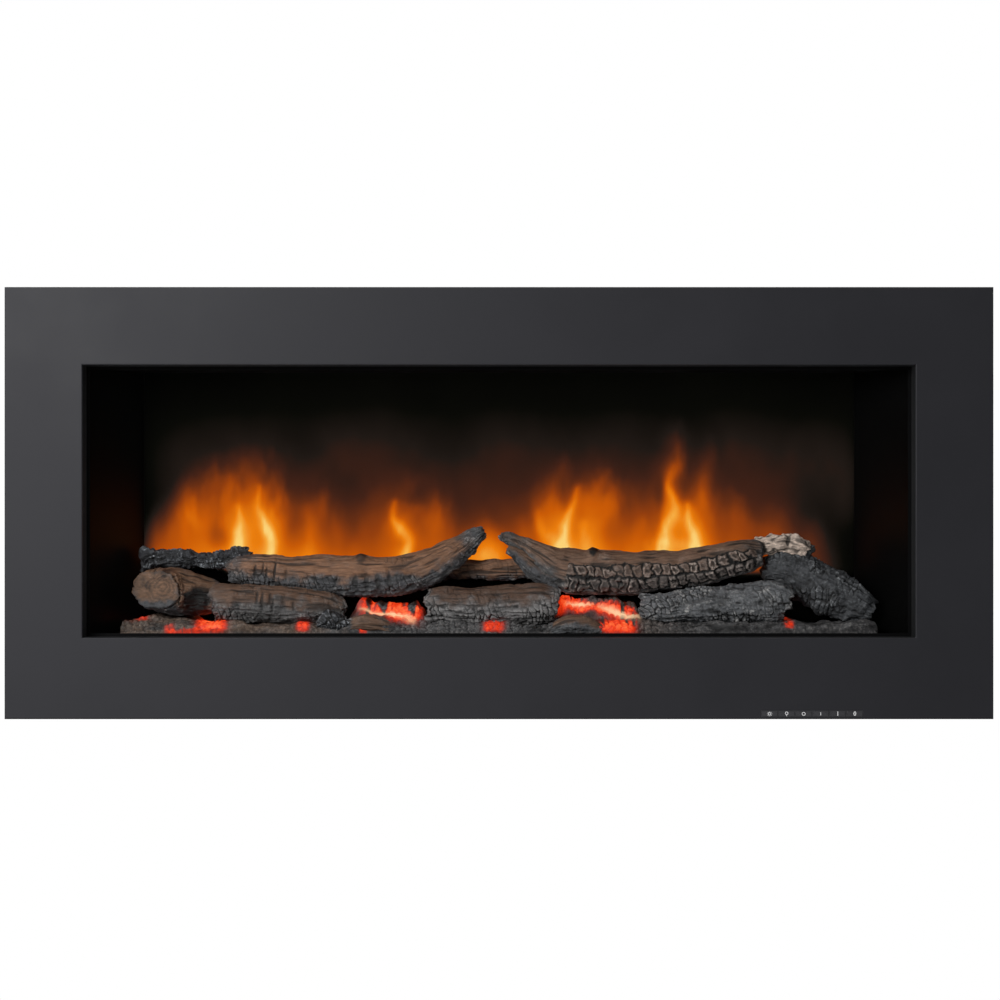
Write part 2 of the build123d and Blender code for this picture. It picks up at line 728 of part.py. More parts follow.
def ember_led_board():
    """Lamp board under the firebox floor, hung from two standoffs."""
    top = EMBER_BOARD_Z + BOARD_THICK
    middle = sum(EMBER_BOARD_Y) / 2
    pieces = [block(about(0, LED_HALF), EMBER_BOARD_Y, (EMBER_BOARD_Z, top))]
    for x in spread(LED_COUNT, LED_PITCH):
        pieces.append(block(about(x, LAMP_HALF), about(middle, LAMP_HALF), (top, top + LAMP_HIGH)))
    for x in about(0, EMBER_STANDOFF_X):
        pieces.append(rod_z(STANDOFF_R, x, middle, (top, FLOOR_TOP - SHEET)))
    keep("ember_led_board", *pieces)


def flame_led_board():
    """Lamp board on the rear panel that lights the spindle's blades."""
    front = REAR_INSIDE - BOARD_THICK
    middle = sum(FLAME_BOARD_Z) / 2
    pieces = [block(about(0, LED_HALF), (front, REAR_INSIDE), FLAME_BOARD_Z)]
    for x in spread(LED_COUNT, LED_PITCH):
        pieces.append(block(about(x, LAMP_HALF), (front - LAMP_HIGH, front), about(middle, LAMP_HALF)))
    keep("flame_led_board", *pieces)


# ---------------------------------------------------------------- flame spindle
SPINDLE_START = -456.0
STATION_COUNT = 26
STATION_PITCH = 33.0
STATION_TWIST = 25.0  # each set of blades is turned on from the one before
HUB = (4.0, 5.0)  # radius and half length
BLADE_LENGTH = 22.0
BLADE_THICK = 0.6
BLADE_ROOT = 3.0
BLADES = 4
COUPLING_R = 4.5
COUPLING_HALF = 8.0
STUB_END = 14.0  # the coupling's shaft inside the motor
MOTOR_X = 466.0
MOTOR_R = 17.0
MOTOR_LONG = 18.0
MOTOR_BOSS = (5.0, 4.0)  # radius and length
MOTOR_EARS = (1.2, 4.0, 23.0)  # thickness, half width and half height
MOTOR_BORE_END = 15.0
BRACKET_SHEET = 1.5
BRACKET_FRONT = -50.0
BRACKET_HALF = 26.0
BRACKET_HOLE_R = 5.3
BRACKET_FOOT = (16.0, 8.0)  # length and height
BEARING_X = (-458.0, -453.0)
BEARING_FRONT = -44.0
BEARING_HALF = 12.0
BEARING_FOOT_X = -474.0
BEARING_FOOT_THICK = 3.0


def spindle():
    """Rod with sets of four bright blades, and the coupling on the motor's side."""
    keep("spindle_rod", rod_x(SPINDLE_R, (SPINDLE_START, SPINDLE_END), SPINDLE_Y, SPINDLE_Z))
    hub_r, hub_half = HUB
    blade_high = BLADE_REACH - BLADE_ROOT
    stations = []
    for index, x in enumerate(spread(STATION_COUNT, STATION_PITCH)):
        station = rod_x(hub_r, about(x, hub_half), SPINDLE_Y, SPINDLE_Z)
        for petal in range(BLADES):
            blade = Pos(x, 0, BLADE_ROOT + blade_high / 2) * Box(BLADE_LENGTH, BLADE_THICK, blade_high)
            blade = Rot(petal * 360.0 / BLADES + index * STATION_TWIST, 0, 0) * blade
            station += Pos(0, SPINDLE_Y, SPINDLE_Z) * blade
        station -= rod_x(SPINDLE_R + RUN, about(x, BLADE_LENGTH), SPINDLE_Y, SPINDLE_Z)
        stations.append(station)
    keep("spindle_blades", *stations)
    coupling = rod_x(COUPLING_R, about(SPINDLE_END, COUPLING_HALF), SPINDLE_Y, SPINDLE_Z)
    socket = (SPINDLE_END - COUPLING_HALF - OVERCUT, SPINDLE_END)
    coupling -= rod_x(SPINDLE_R + RUN, socket, SPINDLE_Y, SPINDLE_Z)
    stub = (SPINDLE_END + COUPLING_HALF - OVERCUT, MOTOR_X + STUB_END)
    coupling += rod_x(SPINDLE_R, stub, SPINDLE_Y, SPINDLE_Z)
    keep("drive_coupling", coupling)


def spindle_motor():
    """Small synchronous motor with a boss and two ears."""
    boss_r, boss_long = MOTOR_BOSS
    ear_thick, ear_half_width, ear_half_height = MOTOR_EARS
    can = rod_x(MOTOR_R, (MOTOR_X, MOTOR_X + MOTOR_LONG), SPINDLE_Y, SPINDLE_Z)
    boss = rod_x(boss_r, (MOTOR_X - boss_long, MOTOR_X), SPINDLE_Y, SPINDLE_Z)
    ears = block(
        (MOTOR_X, MOTOR_X + ear_thick), about(SPINDLE_Y, ear_half_width), about(SPINDLE_Z, ear_half_height)
    )
    motor = can + boss + ears
    bore = (MOTOR_X - boss_long - OVERCUT, MOTOR_X + MOTOR_BORE_END)
    motor -= rod_x(SPINDLE_R + RUN, bore, SPINDLE_Y, SPINDLE_Z)
    keep("spindle_motor", motor)


def motor_bracket():
    """Plate that carries the motor off the rear panel."""
    foot_long, foot_high = BRACKET_FOOT
    plate = block(
        (MOTOR_X - BRACKET_SHEET, MOTOR_X), (BRACKET_FRONT, REAR_INSIDE), about(SPINDLE_Z, BRACKET_HALF)
    )
    plate -= rod_x(BRACKET_HOLE_R, through(MOTOR_X - BRACKET_SHEET, MOTOR_X), SPINDLE_Y, SPINDLE_Z)
    foot = block(
        (MOTOR_X, MOTOR_X + foot_long),
        (REAR_INSIDE - BRACKET_SHEET, REAR_INSIDE),
        (SPINDLE_Z + BRACKET_HALF - foot_high, SPINDLE_Z + BRACKET_HALF),
    )
    keep("motor_bracket", plate + foot)


def spindle_bearing():
    """Bearing plate at the spindle's free end."""
    bearing = block(BEARING_X, (BEARING_FRONT, REAR_INSIDE), about(SPINDLE_Z, BEARING_HALF))
    bearing += block(
        (BEARING_FOOT_X, BEARING_X[1]),
        (REAR_INSIDE - BEARING_FOOT_THICK, REAR_INSIDE),
        about(SPINDLE_Z, BEARING_HALF),
    )
    bearing -= rod_x(SPINDLE_R + RUN, through(*BEARING_X), SPINDLE_Y, SPINDLE_Z)
    keep("spindle_bearing", bearing)


# ---------------------------------------------------------------- fan heater
SCROLL_R = 24.5
SCROLL_ARC = (-100.0, 20.0)  # degrees; 0 points to +Y and 90 points up
HOUSING_SHEET = 1.0
THROAT_SHEET = 1.2
THROAT_LAP = 1.0
THROAT_RISE = 2.5
DUCT_FRONT = OUTLET_Y[0]
DUCT_TOP = -186.0
DUCT_ROOF_BACK = FAN_Y - 18.0
CHEEK_BACK = FAN_Y + 26.0
CHEEK_RISE = 6.0
CHEEK_HOLE_R = 7.0
WHEEL_SHAFT = (6.0, 46.0)  # how far the shaft runs past the duct at each end
WHEEL_DISC = 1.5
SLATS = 20
SLAT_SIZE = (0.8, 7.0)
SLAT_INSET = 4.0
SLAT_PITCH_ANGLE = 28.0
FAN_MOTOR_GAP = 12.0
CORE_LONG = 18.0
CORE_Y = 22.0
CORE_Z = (24.0, 22.0)  # below and above the shaft
COIL_WINDOW = (12.0, -18.0, -13.0)
CORE_BORE_GAP = 0.3
BUSH = (9.0, 8.0)  # radius and length
COIL_Y = 11.0
COIL_END = 5.0
COIL_HIGH = 5.0
BEARING_BUSH_R = (6.8, 9.0)
BEARING_BUSH_LONG = (6.0, 5.8)
ELEMENT_Y = (-132.0, -104.0)
ELEMENT_Z = -212.0
ELEMENT_MARGIN = 6.0
ELEMENT_CORE = (9.0, 3.0)  # in from the fins in Y, half height
FIN_COUNT = 45
FIN_PITCH = 4.8
FIN_HALF = (0.5, 7.0)
END_BLOCK = (9.9, 5.9, 8.0)  # length, how far it stands out, half height
CUTOUT = (8.0, -60.0, -118.0)  # radius, x and y
CUTOUT_Z = (1.0, 7.0)  # above the duct's roof
CUTOUT_TABS = ((14.0, 3.0), (4.0, 5.0))
GRILLE_THICK = 2.0
GRILLE_SIDE = 8.0
GRILLE_EDGE = 6.0
GRILLE_BAYS = 24
GRILLE_BAR_HALF = 1.2
GRILLE_MARGIN = 3.0


def ring_sector(inner, outer, start, end, x):
    """A curved wall round the fan's axis, from start to end degrees; 0 points to +Y, 90 up."""

    def at(radius, angle):
        turn = radians(angle)
        return (x[0], FAN_Y + radius * cos(turn), FAN_Z + radius * sin(turn))

    middle = (start + end) / 2
    edges = [
        ThreePointArc(at(outer, start), at(outer, middle), at(outer, end)),
        Line(at(outer, end), at(inner, end)),
        ThreePointArc(at(inner, end), at(inner, middle), at(inner, start)),
        Line(at(inner, start), at(outer, start)),
    ]
    return extrude(make_face(edges), x[1] - x[0], dir=(1, 0, 0))


def blower_housing():
    """Scroll behind and under the wheel, and a duct that turns the air down to the outlet."""
    x = (-DUCT_HALF, DUCT_HALF)
    wall = ring_sector(SCROLL_R, SCROLL_R + HOUSING_SHEET, SCROLL_ARC[0], SCROLL_ARC[1], x)
    turn = radians(SCROLL_ARC[0])
    throat_y = FAN_Y + (SCROLL_R + HOUSING_SHEET / 2) * cos(turn) + THROAT_LAP
    throat_z = FAN_Z + SCROLL_R * sin(turn)
    wall += prism_x(
        [
            (throat_y, throat_z),
            (throat_y, throat_z - THROAT_SHEET),
            (OUTLET_Y[1] + THROAT_SHEET, BASE_INSIDE),
            (OUTLET_Y[1], BASE_INSIDE),
            (OUTLET_Y[1], BASE_INSIDE + THROAT_RISE),
        ],
        x,
    )
    outer = DUCT_FRONT - HOUSING_SHEET
    roof = DUCT_TOP + HOUSING_SHEET
    wall += prism_x(
        [
            (DUCT_FRONT, BASE_INSIDE),
            (DUCT_FRONT, DUCT_TOP),
            (DUCT_ROOF_BACK, DUCT_TOP),
            (DUCT_ROOF_BACK, roof),
            (outer, roof),
            (outer, BASE_INSIDE),
        ],
        x,
    )
    cheeks = []
    for low in (-DUCT_HALF - HOUSING_SHEET, DUCT_HALF):
        high = low + HOUSING_SHEET
        cheek = block((low, high), (outer, CHEEK_BACK), (BASE_INSIDE, DUCT_TOP + CHEEK_RISE))
        cheeks.append(cheek - rod_x(CHEEK_HOLE_R, through(low, high), FAN_Y, FAN_Z))
    keep("blower_housing", wall + cheeks[0] + cheeks[1])


def blower_wheel():
    """Cross-flow wheel: three discs and a ring of slats on one shaft."""
    wheel = rod_x(FAN_SHAFT_R, (-DUCT_HALF - WHEEL_SHAFT[0], DUCT_HALF + WHEEL_SHAFT[1]), FAN_Y, FAN_Z)
    for x in (-FAN_HALF, -WHEEL_DISC / 2, FAN_HALF - WHEEL_DISC):
        wheel += rod_x(FAN_R, (x, x + WHEEL_DISC), FAN_Y, FAN_Z)
    for index in range(SLATS):
        slat = Pos(0, 0, FAN_R - SLAT_INSET) * Rot(SLAT_PITCH_ANGLE, 0, 0) * Box(2 * FAN_HALF, *SLAT_SIZE)
        wheel += Pos(0, FAN_Y, FAN_Z) * Rot(360.0 / SLATS * index, 0, 0) * slat
    keep("blower_wheel", wheel)


def blower_motor():
    """Shaded-pole motor: laminated core with the shaft's tunnel, a coil and two end bearings."""
    start = DUCT_HALF + FAN_MOTOR_GAP
    end = start + CORE_LONG
    core = block((start, end), about(FAN_Y, CORE_Y), (FAN_Z - CORE_Z[0], FAN_Z + CORE_Z[1]))
    half, low, high = COIL_WINDOW
    core -= block(through(start, end), about(FAN_Y, half), (FAN_Z + low, FAN_Z + high))
    core -= rod_x(FAN_SHAFT_R + CORE_BORE_GAP, through(start, end), FAN_Y, FAN_Z)
    bush_r, bush_long = BUSH
    bushes = []
    for x in ((start - bush_long, start), (end, end + bush_long)):
        bush = rod_x(bush_r, x, FAN_Y, FAN_Z) - rod_x(FAN_SHAFT_R + RUN, through(*x), FAN_Y, FAN_Z)
        bushes.append(bush)
    under = FAN_Z - CORE_Z[0]
    coil = block((start - COIL_END, end + COIL_END), about(FAN_Y, COIL_Y), (under - COIL_HIGH, under))
    keep("blower_motor", core + bushes[0] + bushes[1], coil)


def blower_bearing():
    """Stepped bush in the housing's far cheek."""
    low = -DUCT_HALF - HOUSING_SHEET - BEARING_BUSH_LONG[0]
    bush = None
    for radius, long in zip(BEARING_BUSH_R, BEARING_BUSH_LONG):
        step = rod_x(radius, (low, low + long), FAN_Y, FAN_Z)
        bush = step if bush is None else bush + step
    bore = through(low, low + BEARING_BUSH_LONG[0])
    bush -= rod_x(FAN_SHAFT_R + RUN, bore, FAN_Y, FAN_Z)
    keep("blower_bearing", bush)


def heating_element():
    """Finned ceramic heater: a core bar, cross fins and two end blocks."""
    half = DUCT_HALF - ELEMENT_MARGIN
    inset, core_half = ELEMENT_CORE
    core_y = (ELEMENT_Y[0] + inset, ELEMENT_Y[1] - inset)
    element = block((-half, half), core_y, about(ELEMENT_Z, core_half))
    for x in spread(FIN_COUNT, FIN_PITCH):
        element += block(about(x, FIN_HALF[0]), ELEMENT_Y, about(ELEMENT_Z, FIN_HALF[1]))
    long, out, block_half = END_BLOCK
    for low in (-half - out, half + out - long):
        element += block((low, low + long), ELEMENT_Y, about(ELEMENT_Z, block_half))
    keep("heating_element", element)


def thermal_cutout():
    """Disc cut-out on the duct's roof with two flat tabs."""
    radius, x, y = CUTOUT
    (tab_x, tab_y), (tab_low, tab_high) = CUTOUT_TABS
    body = rod_z(radius, x, y, (DUCT_TOP + CUTOUT_Z[0], DUCT_TOP + CUTOUT_Z[1]))
    tabs = block(about(x, tab_x), about(y, tab_y), (DUCT_TOP + tab_low, DUCT_TOP + tab_high))
    keep("thermal_cutout", body + tabs)


def outlet_grille():
    """Flat grille under the base panel, over the warm-air duct."""
    z = (CASE_BOTTOM - GRILLE_THICK, CASE_BOTTOM)
    grille = block(
        about(0, DUCT_HALF + GRILLE_SIDE), (OUTLET_Y[0] - GRILLE_EDGE, OUTLET_Y[1] + GRILLE_EDGE), z
    )
    bay = (2 * DUCT_HALF - GRILLE_EDGE) / GRILLE_BAYS
    for x in spread(GRILLE_BAYS, bay):
        grille -= block(
            about(x, bay / 2 - GRILLE_BAR_HALF),
            (OUTLET_Y[0] + GRILLE_MARGIN, OUTLET_Y[1] - GRILLE_MARGIN),
            through(*z),
        )
    keep("outlet_grille", grille)


# ---------------------------------------------------------------- electrics
BOARD_X = (215.0, 365.0)
BOARD_Y = (-120.0, -50.0)
BOARD_Z = -226.0
BOARD_CORNER = 6.0
BOARD_FOOT_R = 3.0
RELAYS_X = (232.0, 258.0, 284.0)
RELAY_LONG = 19.0
RELAY_Y = (-78.0, -62.0)
RELAY_HIGH = 16.0
TRANSFORMER = ((312.0, 344.0), (-86.0, -60.0), 24.0)
CAPACITOR = (7.0, 245.0, -100.0, 22.0)
CONNECTOR = ((270.0, 300.0), (-112.0, -98.0), 8.0)
TERMINAL_X = (392.0, 424.0)
TERMINAL_Y = (-62.0, -40.0)
TERMINAL_TOP = -216.0
TERMINAL_WAYS = 3
TERMINAL_EDGE = 6.0
TERMINAL_PITCH = 10.0
TERMINAL_ROWS_Y = (-46.0, -56.0)
TERMINAL_HOLE = (2.2, 5.0)  # radius and depth
ROCKER_PIVOT_Z = CASE_BOTTOM + 2.0
ROCKER_PIN_R = 1.5
ROCKER_PIN_HALF = 8.6
ROCKER_TOP = -212.0
ROCKER_FLANGE = (15.5, 11.5, 2.0)  # half sizes and thickness
ROCKER_BODY = (13.4, 9.4)
ROCKER_WELL = (11.6, 7.6)
ROCKER_WELL_Z = (CASE_BOTTOM - 4.0, CASE_BOTTOM + 11.0)
ROCKER_SOCKET_HALF = 8.8
ROCKER_TABS_X = (-8.0, 0.0, 8.0)
ROCKER_TAB = (0.4, 3.0, 8.0)  # half thickness, half width, height
ROCKER_HALF = 10.6
ROCKER_HALF_WIDE = 7.2
ROCKER_PROUD = 3.6  # the face's ends below the base before the tilt
ROCKER_VEE = 1.6
ROCKER_SHOULDER = -1.0
ROCKER_CROWN = (3.5, 4.0)
GLAND_R = 8.0
GLAND_Z = (-6.0, 10.0)
GLAND_NUT = (12.0, 5.0)  # corner radius and thickness
GLAND_DOME = (6.5, 10.0, 8.0)  # small radius, large radius and height
GLAND_DOME_Z = -9.0
GLAND_CUT = 20.0
SUPPLY_LEAD_R = 1.5
SIGNAL_LEAD_R = 1.2
ARC_SHARE = 0.45  # the share of the shorter run that an arc may use


def power_board():
    """Power board on four feet: three relays, a transformer, a capacitor and a connector."""
    top = BOARD_Z + BOARD_THICK
    pieces = [block(BOARD_X, BOARD_Y, (BOARD_Z, top))]
    for x in (BOARD_X[0] + BOARD_CORNER, BOARD_X[1] - BOARD_CORNER):
        for y in (BOARD_Y[0] + BOARD_CORNER, BOARD_Y[1] - BOARD_CORNER):
            pieces.append(rod_z(BOARD_FOOT_R, x, y, (BASE_INSIDE, BOARD_Z)))
    for x in RELAYS_X:
        pieces.append(block((x, x + RELAY_LONG), RELAY_Y, (top, top + RELAY_HIGH)))
    for x, y, high in (TRANSFORMER, CONNECTOR):
        pieces.append(block(x, y, (top, top + high)))
    radius, x, y, high = CAPACITOR
    pieces.append(rod_z(radius, x, y, (top, top + high)))
    keep("power_board", *pieces)


def terminal_block():
    """Three-way terminal block with a screw well at each end of each way."""
    radius, deep = TERMINAL_HOLE
    body = block(TERMINAL_X, TERMINAL_Y, (BASE_INSIDE, TERMINAL_TOP))
    for index in range(TERMINAL_WAYS):
        x = TERMINAL_X[0] + TERMINAL_EDGE + index * TERMINAL_PITCH
        for y in TERMINAL_ROWS_Y:
            body -= rod_z(radius, x, y, (TERMINAL_TOP - deep, TERMINAL_TOP + OVERCUT))
    keep("terminal_block", body)


def rocker_frame():
    """Snap-in frame of the mains rocker, with a well, two pivot sockets and three tabs."""
    flange_x, flange_y, flange_thick = ROCKER_FLANGE
    frame = block(
        about(ROCKER_X, flange_x), about(ROCKER_Y, flange_y), (CASE_BOTTOM - flange_thick, CASE_BOTTOM)
    )
    frame += block(
        about(ROCKER_X, ROCKER_BODY[0]), about(ROCKER_Y, ROCKER_BODY[1]), (CASE_BOTTOM - OVERCUT, ROCKER_TOP)
    )
    frame -= block(about(ROCKER_X, ROCKER_WELL[0]), about(ROCKER_Y, ROCKER_WELL[1]), ROCKER_WELL_Z)
    tab_thick, tab_wide, tab_high = ROCKER_TAB
    for x in ROCKER_TABS_X:
        frame += block(
            about(ROCKER_X + x, tab_thick),
            about(ROCKER_Y, tab_wide),
            (ROCKER_TOP - BITE, ROCKER_TOP + tab_high),
        )
    frame -= rod_y(ROCKER_PIN_R + RUN, ROCKER_X, about(ROCKER_Y, ROCKER_SOCKET_HALF), ROCKER_PIVOT_Z)
    keep("rocker_frame", frame)


def power_rocker():
    """Rocker with a shallow V face and two trunnions, stored pressed at its +X end."""
    face = CASE_BOTTOM - ROCKER_PROUD - ROCKER_PIVOT_Z
    crown_x, crown_z = ROCKER_CROWN
    outline = [
        (-ROCKER_HALF, face),
        (0, face + ROCKER_VEE),
        (ROCKER_HALF, face),
        (ROCKER_HALF, ROCKER_SHOULDER),
        (crown_x, crown_z),
        (-crown_x, crown_z),
        (-ROCKER_HALF, ROCKER_SHOULDER),
    ]
    corners = [(p[0], 0, p[1]) for p in outline]
    profile = make_face(Polyline(*corners, close=True))
    body = extrude(profile, ROCKER_HALF_WIDE, dir=(0, 1, 0), both=True)
    body += rod_y(ROCKER_PIN_R, 0, about(0, ROCKER_PIN_HALF), 0)
    body = Pos(ROCKER_X, ROCKER_Y, ROCKER_PIVOT_Z) * Rot(0, -ROCKER_TILT, 0) * body
    keep("power_rocker", body)


def cable_gland():
    """Gland for the mains lead: hexagon nuts each side of the base and a domed cap."""
    nut_r, nut_thick = GLAND_NUT
    dome_small, dome_large, dome_high = GLAND_DOME
    body = rod_z(GLAND_R, GLAND_X, GLAND_Y, (CASE_BOTTOM + GLAND_Z[0], CASE_BOTTOM + GLAND_Z[1]))
    for low in (CASE_BOTTOM - nut_thick, BASE_INSIDE):
        body += extrude(Pos(GLAND_X, GLAND_Y, low) * RegularPolygon(nut_r, 6), nut_thick)
    dome_z = CASE_BOTTOM + GLAND_DOME_Z
    body += Pos(GLAND_X, GLAND_Y, dome_z) * Cone(dome_small, dome_large, dome_high)
    body -= rod_z(GLAND_BORE, GLAND_X, GLAND_Y, about(CASE_BOTTOM, GLAND_CUT))
    keep("cable_gland", body)


def lead(name, radius, points):
    """A wire along straight runs joined by arcs as large as the runs allow."""
    corners = [Vector(*p) for p in points]
    radii = []
    for before, here, after in zip(corners, corners[1:], corners[2:]):
        run_in, run_out = here - before, after - here
        half_turn = radians(run_in.get_angle(run_out)) / 2
        room = ARC_SHARE * min(run_in.length, run_out.length)
        radii.append(room * cos(half_turn) / sin(half_turn))
    print(name, "lead, arc radii", [round(r, 1) for r in radii])
    path = FilletPolyline(*corners, radius=radii)
    start = Plane(origin=corners[0], z_dir=corners[1] - corners[0])
    return sweep(start * Circle(radius), path=path)


SUPPLY_ROUTE = [
    (398, -62, -222),
    (398, -78, -222),
    (408, -92, -214),
    (428, -98, -205),
    (446, -90, -200),
    (454, -76, -201),
]
SWITCHED_ROUTE = [
    (471, -73.3, -206),
    (474, -88, -200),
    (460, -106, -200),
    (432, -116, -207),
    (398, -112, -214),
    (366, -100, -219),
]
FAN_ROUTE = [
    (214, -92, -221),
    (200, -94, -220),
    (188, -90, -223),
    (180, -82, -228),
    (169, -74, -231.2),
    (155, -74, -231.2),
]
SPINDLE_ROUTE = [
    (366, -58, -221),
    (384, -46, -208),
    (412, -32, -198),
    (446, -27, -188),
    (470, -26, -170),
    (476, -27, -147),
]
KEY_ROUTE = [
    (290, -120, -221),
    (291, -134, -221.5),
    (290, -148, -222),
    (300, -157, -228),
    (322, -159, -236),
    (352, -158, -243),
    (366, -157, -247),
]


def wiring_harness():
    """Internal leads between the terminal block, rocker, board, motors and key board."""
    wires = [
        lead("supply", SUPPLY_LEAD_R, SUPPLY_ROUTE),
        lead("switched", SUPPLY_LEAD_R, SWITCHED_ROUTE),
        lead("fan", SIGNAL_LEAD_R, FAN_ROUTE),
        lead("spindle", SIGNAL_LEAD_R, SPINDLE_ROUTE),
        lead("keys", SIGNAL_LEAD_R, KEY_ROUTE),
    ]
    keep("wiring_harness", *wires)


# ---------------------------------------------------------------- wall fixings
RAIL_SIDE = 30.0  # the rail runs past its fixings
RAIL_Z = (140.0, 190.0)
RAIL_SHEET = 2.0
CATCH_BACK = -6.5  # the upturned lip that carries the hook
CATCH_TOP = 186.0
CATCH_Z = (172.0, 174.0)
RAIL_WINDOWS = 4
RAIL_WINDOW_PITCH = 160.0
RAIL_WINDOW_HALF = 50.0
RAIL_WINDOW_Z = (150.0, 160.0)
FOOT_HALF = 25.0
FOOT_REACH = 14.0
FOOT_SHEET = 2.0
FOOT_TONGUE = 34.0


def wall_bracket():
    """Rail on the wall whose upturned lip carries the hook on the rear panel."""
    front = -RAIL_SHEET
    lip_front = CATCH_BACK - RAIL_SHEET
    rail = prism_x(
        [
            (0, RAIL_Z[0]),
            (0, RAIL_Z[1]),
            (front, RAIL_Z[1]),
            (front, CATCH_Z[1]),
            (CATCH_BACK, CATCH_Z[1]),
            (CATCH_BACK, CATCH_TOP),
            (lip_front, CATCH_TOP),
            (lip_front, CATCH_Z[0]),
            (front, CATCH_Z[0]),
            (front, RAIL_Z[0]),
        ],
        about(0, WALL_FIX_X + RAIL_SIDE),
    )
    sheet = through(front, 0)
    for x in about(0, WALL_FIX_X):
        rail -= rod_y(WALL_HOLE_R, x, sheet, WALL_FIX_Z)
    for x in spread(RAIL_WINDOWS, RAIL_WINDOW_PITCH):
        rail -= block(about(x, RAIL_WINDOW_HALF), sheet, RAIL_WINDOW_Z)
    keep("wall_bracket", rail)


def lower_brackets():
    """Two stepped feet between the wall and the rear panel."""
    step = (-WALL_FIX_Z + FOOT_REACH - FOOT_SHEET, -WALL_FIX_Z + FOOT_REACH)
    feet = []
    for x in about(0, WALL_FIX_X):
        wide = about(x, FOOT_HALF)
        foot = block(wide, (-FOOT_SHEET, 0), about(-WALL_FIX_Z, FOOT_REACH))
        foot += block(wide, (REAR_FACE, 0), step)
        foot += block(wide, (REAR_FACE, REAR_FACE + FOOT_SHEET), (step[0], -WALL_FIX_Z + FOOT_TONGUE))
        foot -= rod_y(WALL_HOLE_R, x, through(-FOOT_SHEET, 0), -WALL_FIX_Z)
        feet.append(foot)
    keep("lower_brackets", *feet)


# ---------------------------------------------------------------- build and write
def build():
    """Models every node, from the front of the fire to the wall."""
    front_fascia()
    fascia_screws()
    control_bezel()
    for index in range(KEY_COUNT):
        key(index)
    control_board()
    front_bulkhead()
    rear_panel()
    top_panel()
    base_panel()
    side_panels()
    casing_screws()
    front_glass()
    glass_seal()
    firebox_walls()
    firebox_floor()
    firebox_roof()
    downlight()
    flame_screen()
    flame_stencil()
    logs()
    ember_bed()
    ember_led_board()
    flame_led_board()
    spindle()
    spindle_motor()
    motor_bracket()
    spindle_bearing()
    blower_housing()
    blower_wheel()
    blower_motor()
    blower_bearing()
    heating_element()
    thermal_cutout()
    outlet_grille()
    power_board()
    terminal_block()
    rocker_frame()
    power_rocker()
    cable_gland()
    wiring_harness()
    wall_bracket()
    lower_brackets()


build()
os.makedirs("parts", exist_ok=True)
for node, solids in NODES.items():
    shape = solids[0] if len(solids) == 1 else Compound(children=solids)
    export_step(shape, f"parts/{node}.step")
print(len(NODES), "nodes")
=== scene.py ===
import json
import logging
import math
from collections.abc import Callable
from dataclasses import dataclass
from enum import Enum

import bpy
import numpy as np
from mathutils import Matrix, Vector


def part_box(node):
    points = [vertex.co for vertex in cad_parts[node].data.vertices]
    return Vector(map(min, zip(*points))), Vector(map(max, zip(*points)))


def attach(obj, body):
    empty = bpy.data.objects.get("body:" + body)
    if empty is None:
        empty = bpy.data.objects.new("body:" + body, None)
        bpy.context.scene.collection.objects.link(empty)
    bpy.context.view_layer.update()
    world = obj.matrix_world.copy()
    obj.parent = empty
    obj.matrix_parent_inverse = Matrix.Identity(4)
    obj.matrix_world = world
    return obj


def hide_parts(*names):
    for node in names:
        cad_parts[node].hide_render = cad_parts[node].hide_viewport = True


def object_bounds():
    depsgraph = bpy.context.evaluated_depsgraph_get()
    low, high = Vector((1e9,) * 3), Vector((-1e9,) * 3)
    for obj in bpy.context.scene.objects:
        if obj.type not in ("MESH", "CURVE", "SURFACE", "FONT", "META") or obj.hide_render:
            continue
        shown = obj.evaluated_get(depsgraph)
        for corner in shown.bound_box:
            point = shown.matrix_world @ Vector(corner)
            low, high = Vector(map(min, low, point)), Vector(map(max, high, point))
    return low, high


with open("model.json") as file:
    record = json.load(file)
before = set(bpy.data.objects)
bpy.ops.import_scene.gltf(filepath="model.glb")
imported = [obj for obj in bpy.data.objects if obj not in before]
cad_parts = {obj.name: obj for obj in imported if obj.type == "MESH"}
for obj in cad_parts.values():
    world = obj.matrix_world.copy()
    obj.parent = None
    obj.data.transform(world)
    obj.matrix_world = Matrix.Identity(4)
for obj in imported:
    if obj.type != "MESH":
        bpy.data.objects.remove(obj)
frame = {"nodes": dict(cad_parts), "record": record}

# Looks of a wall-hung electric fireplace: a coated steel fascia, a glazed black firebox, a moulded
# log set on a glowing ember bed, and a flame image on the screen behind it. Metres, +Z up.

CAD_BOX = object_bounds()
LOG = logging.getLogger("fireplace")
Colour = tuple[float, float, float, float]
Socket = bpy.types.NodeSocket
Material = bpy.types.Material
MM = 0.001
FAR = 9.0  # beyond every piece, in metres, and beyond every cell of a pattern


def srgb(red: float, green: float, blue: float) -> Colour:
    """The linear colour of a display colour given by three numbers up to 255."""
    parts = []
    for value in (red, green, blue):
        share = value / 255
        parts.append(share / 12.92 if share <= 0.04045 else ((share + 0.055) / 1.055) ** 2.4)
    return (parts[0], parts[1], parts[2], 1.0)


def grey(value: float) -> Colour:
    """The linear colour of a neutral display grey."""
    return srgb(value, value, value)


def toned(colour: Colour, share: float, ceiling: float = math.inf) -> Colour:
    """A colour made darker or lighter by a share, up to a ceiling."""
    return tuple(min(part * share, ceiling) for part in colour[:3]) + (1.0,)


def each(kind: type, *rows: tuple) -> tuple:
    """One object of a kind for each row of its values."""
    return tuple(kind(*row) for row in rows)


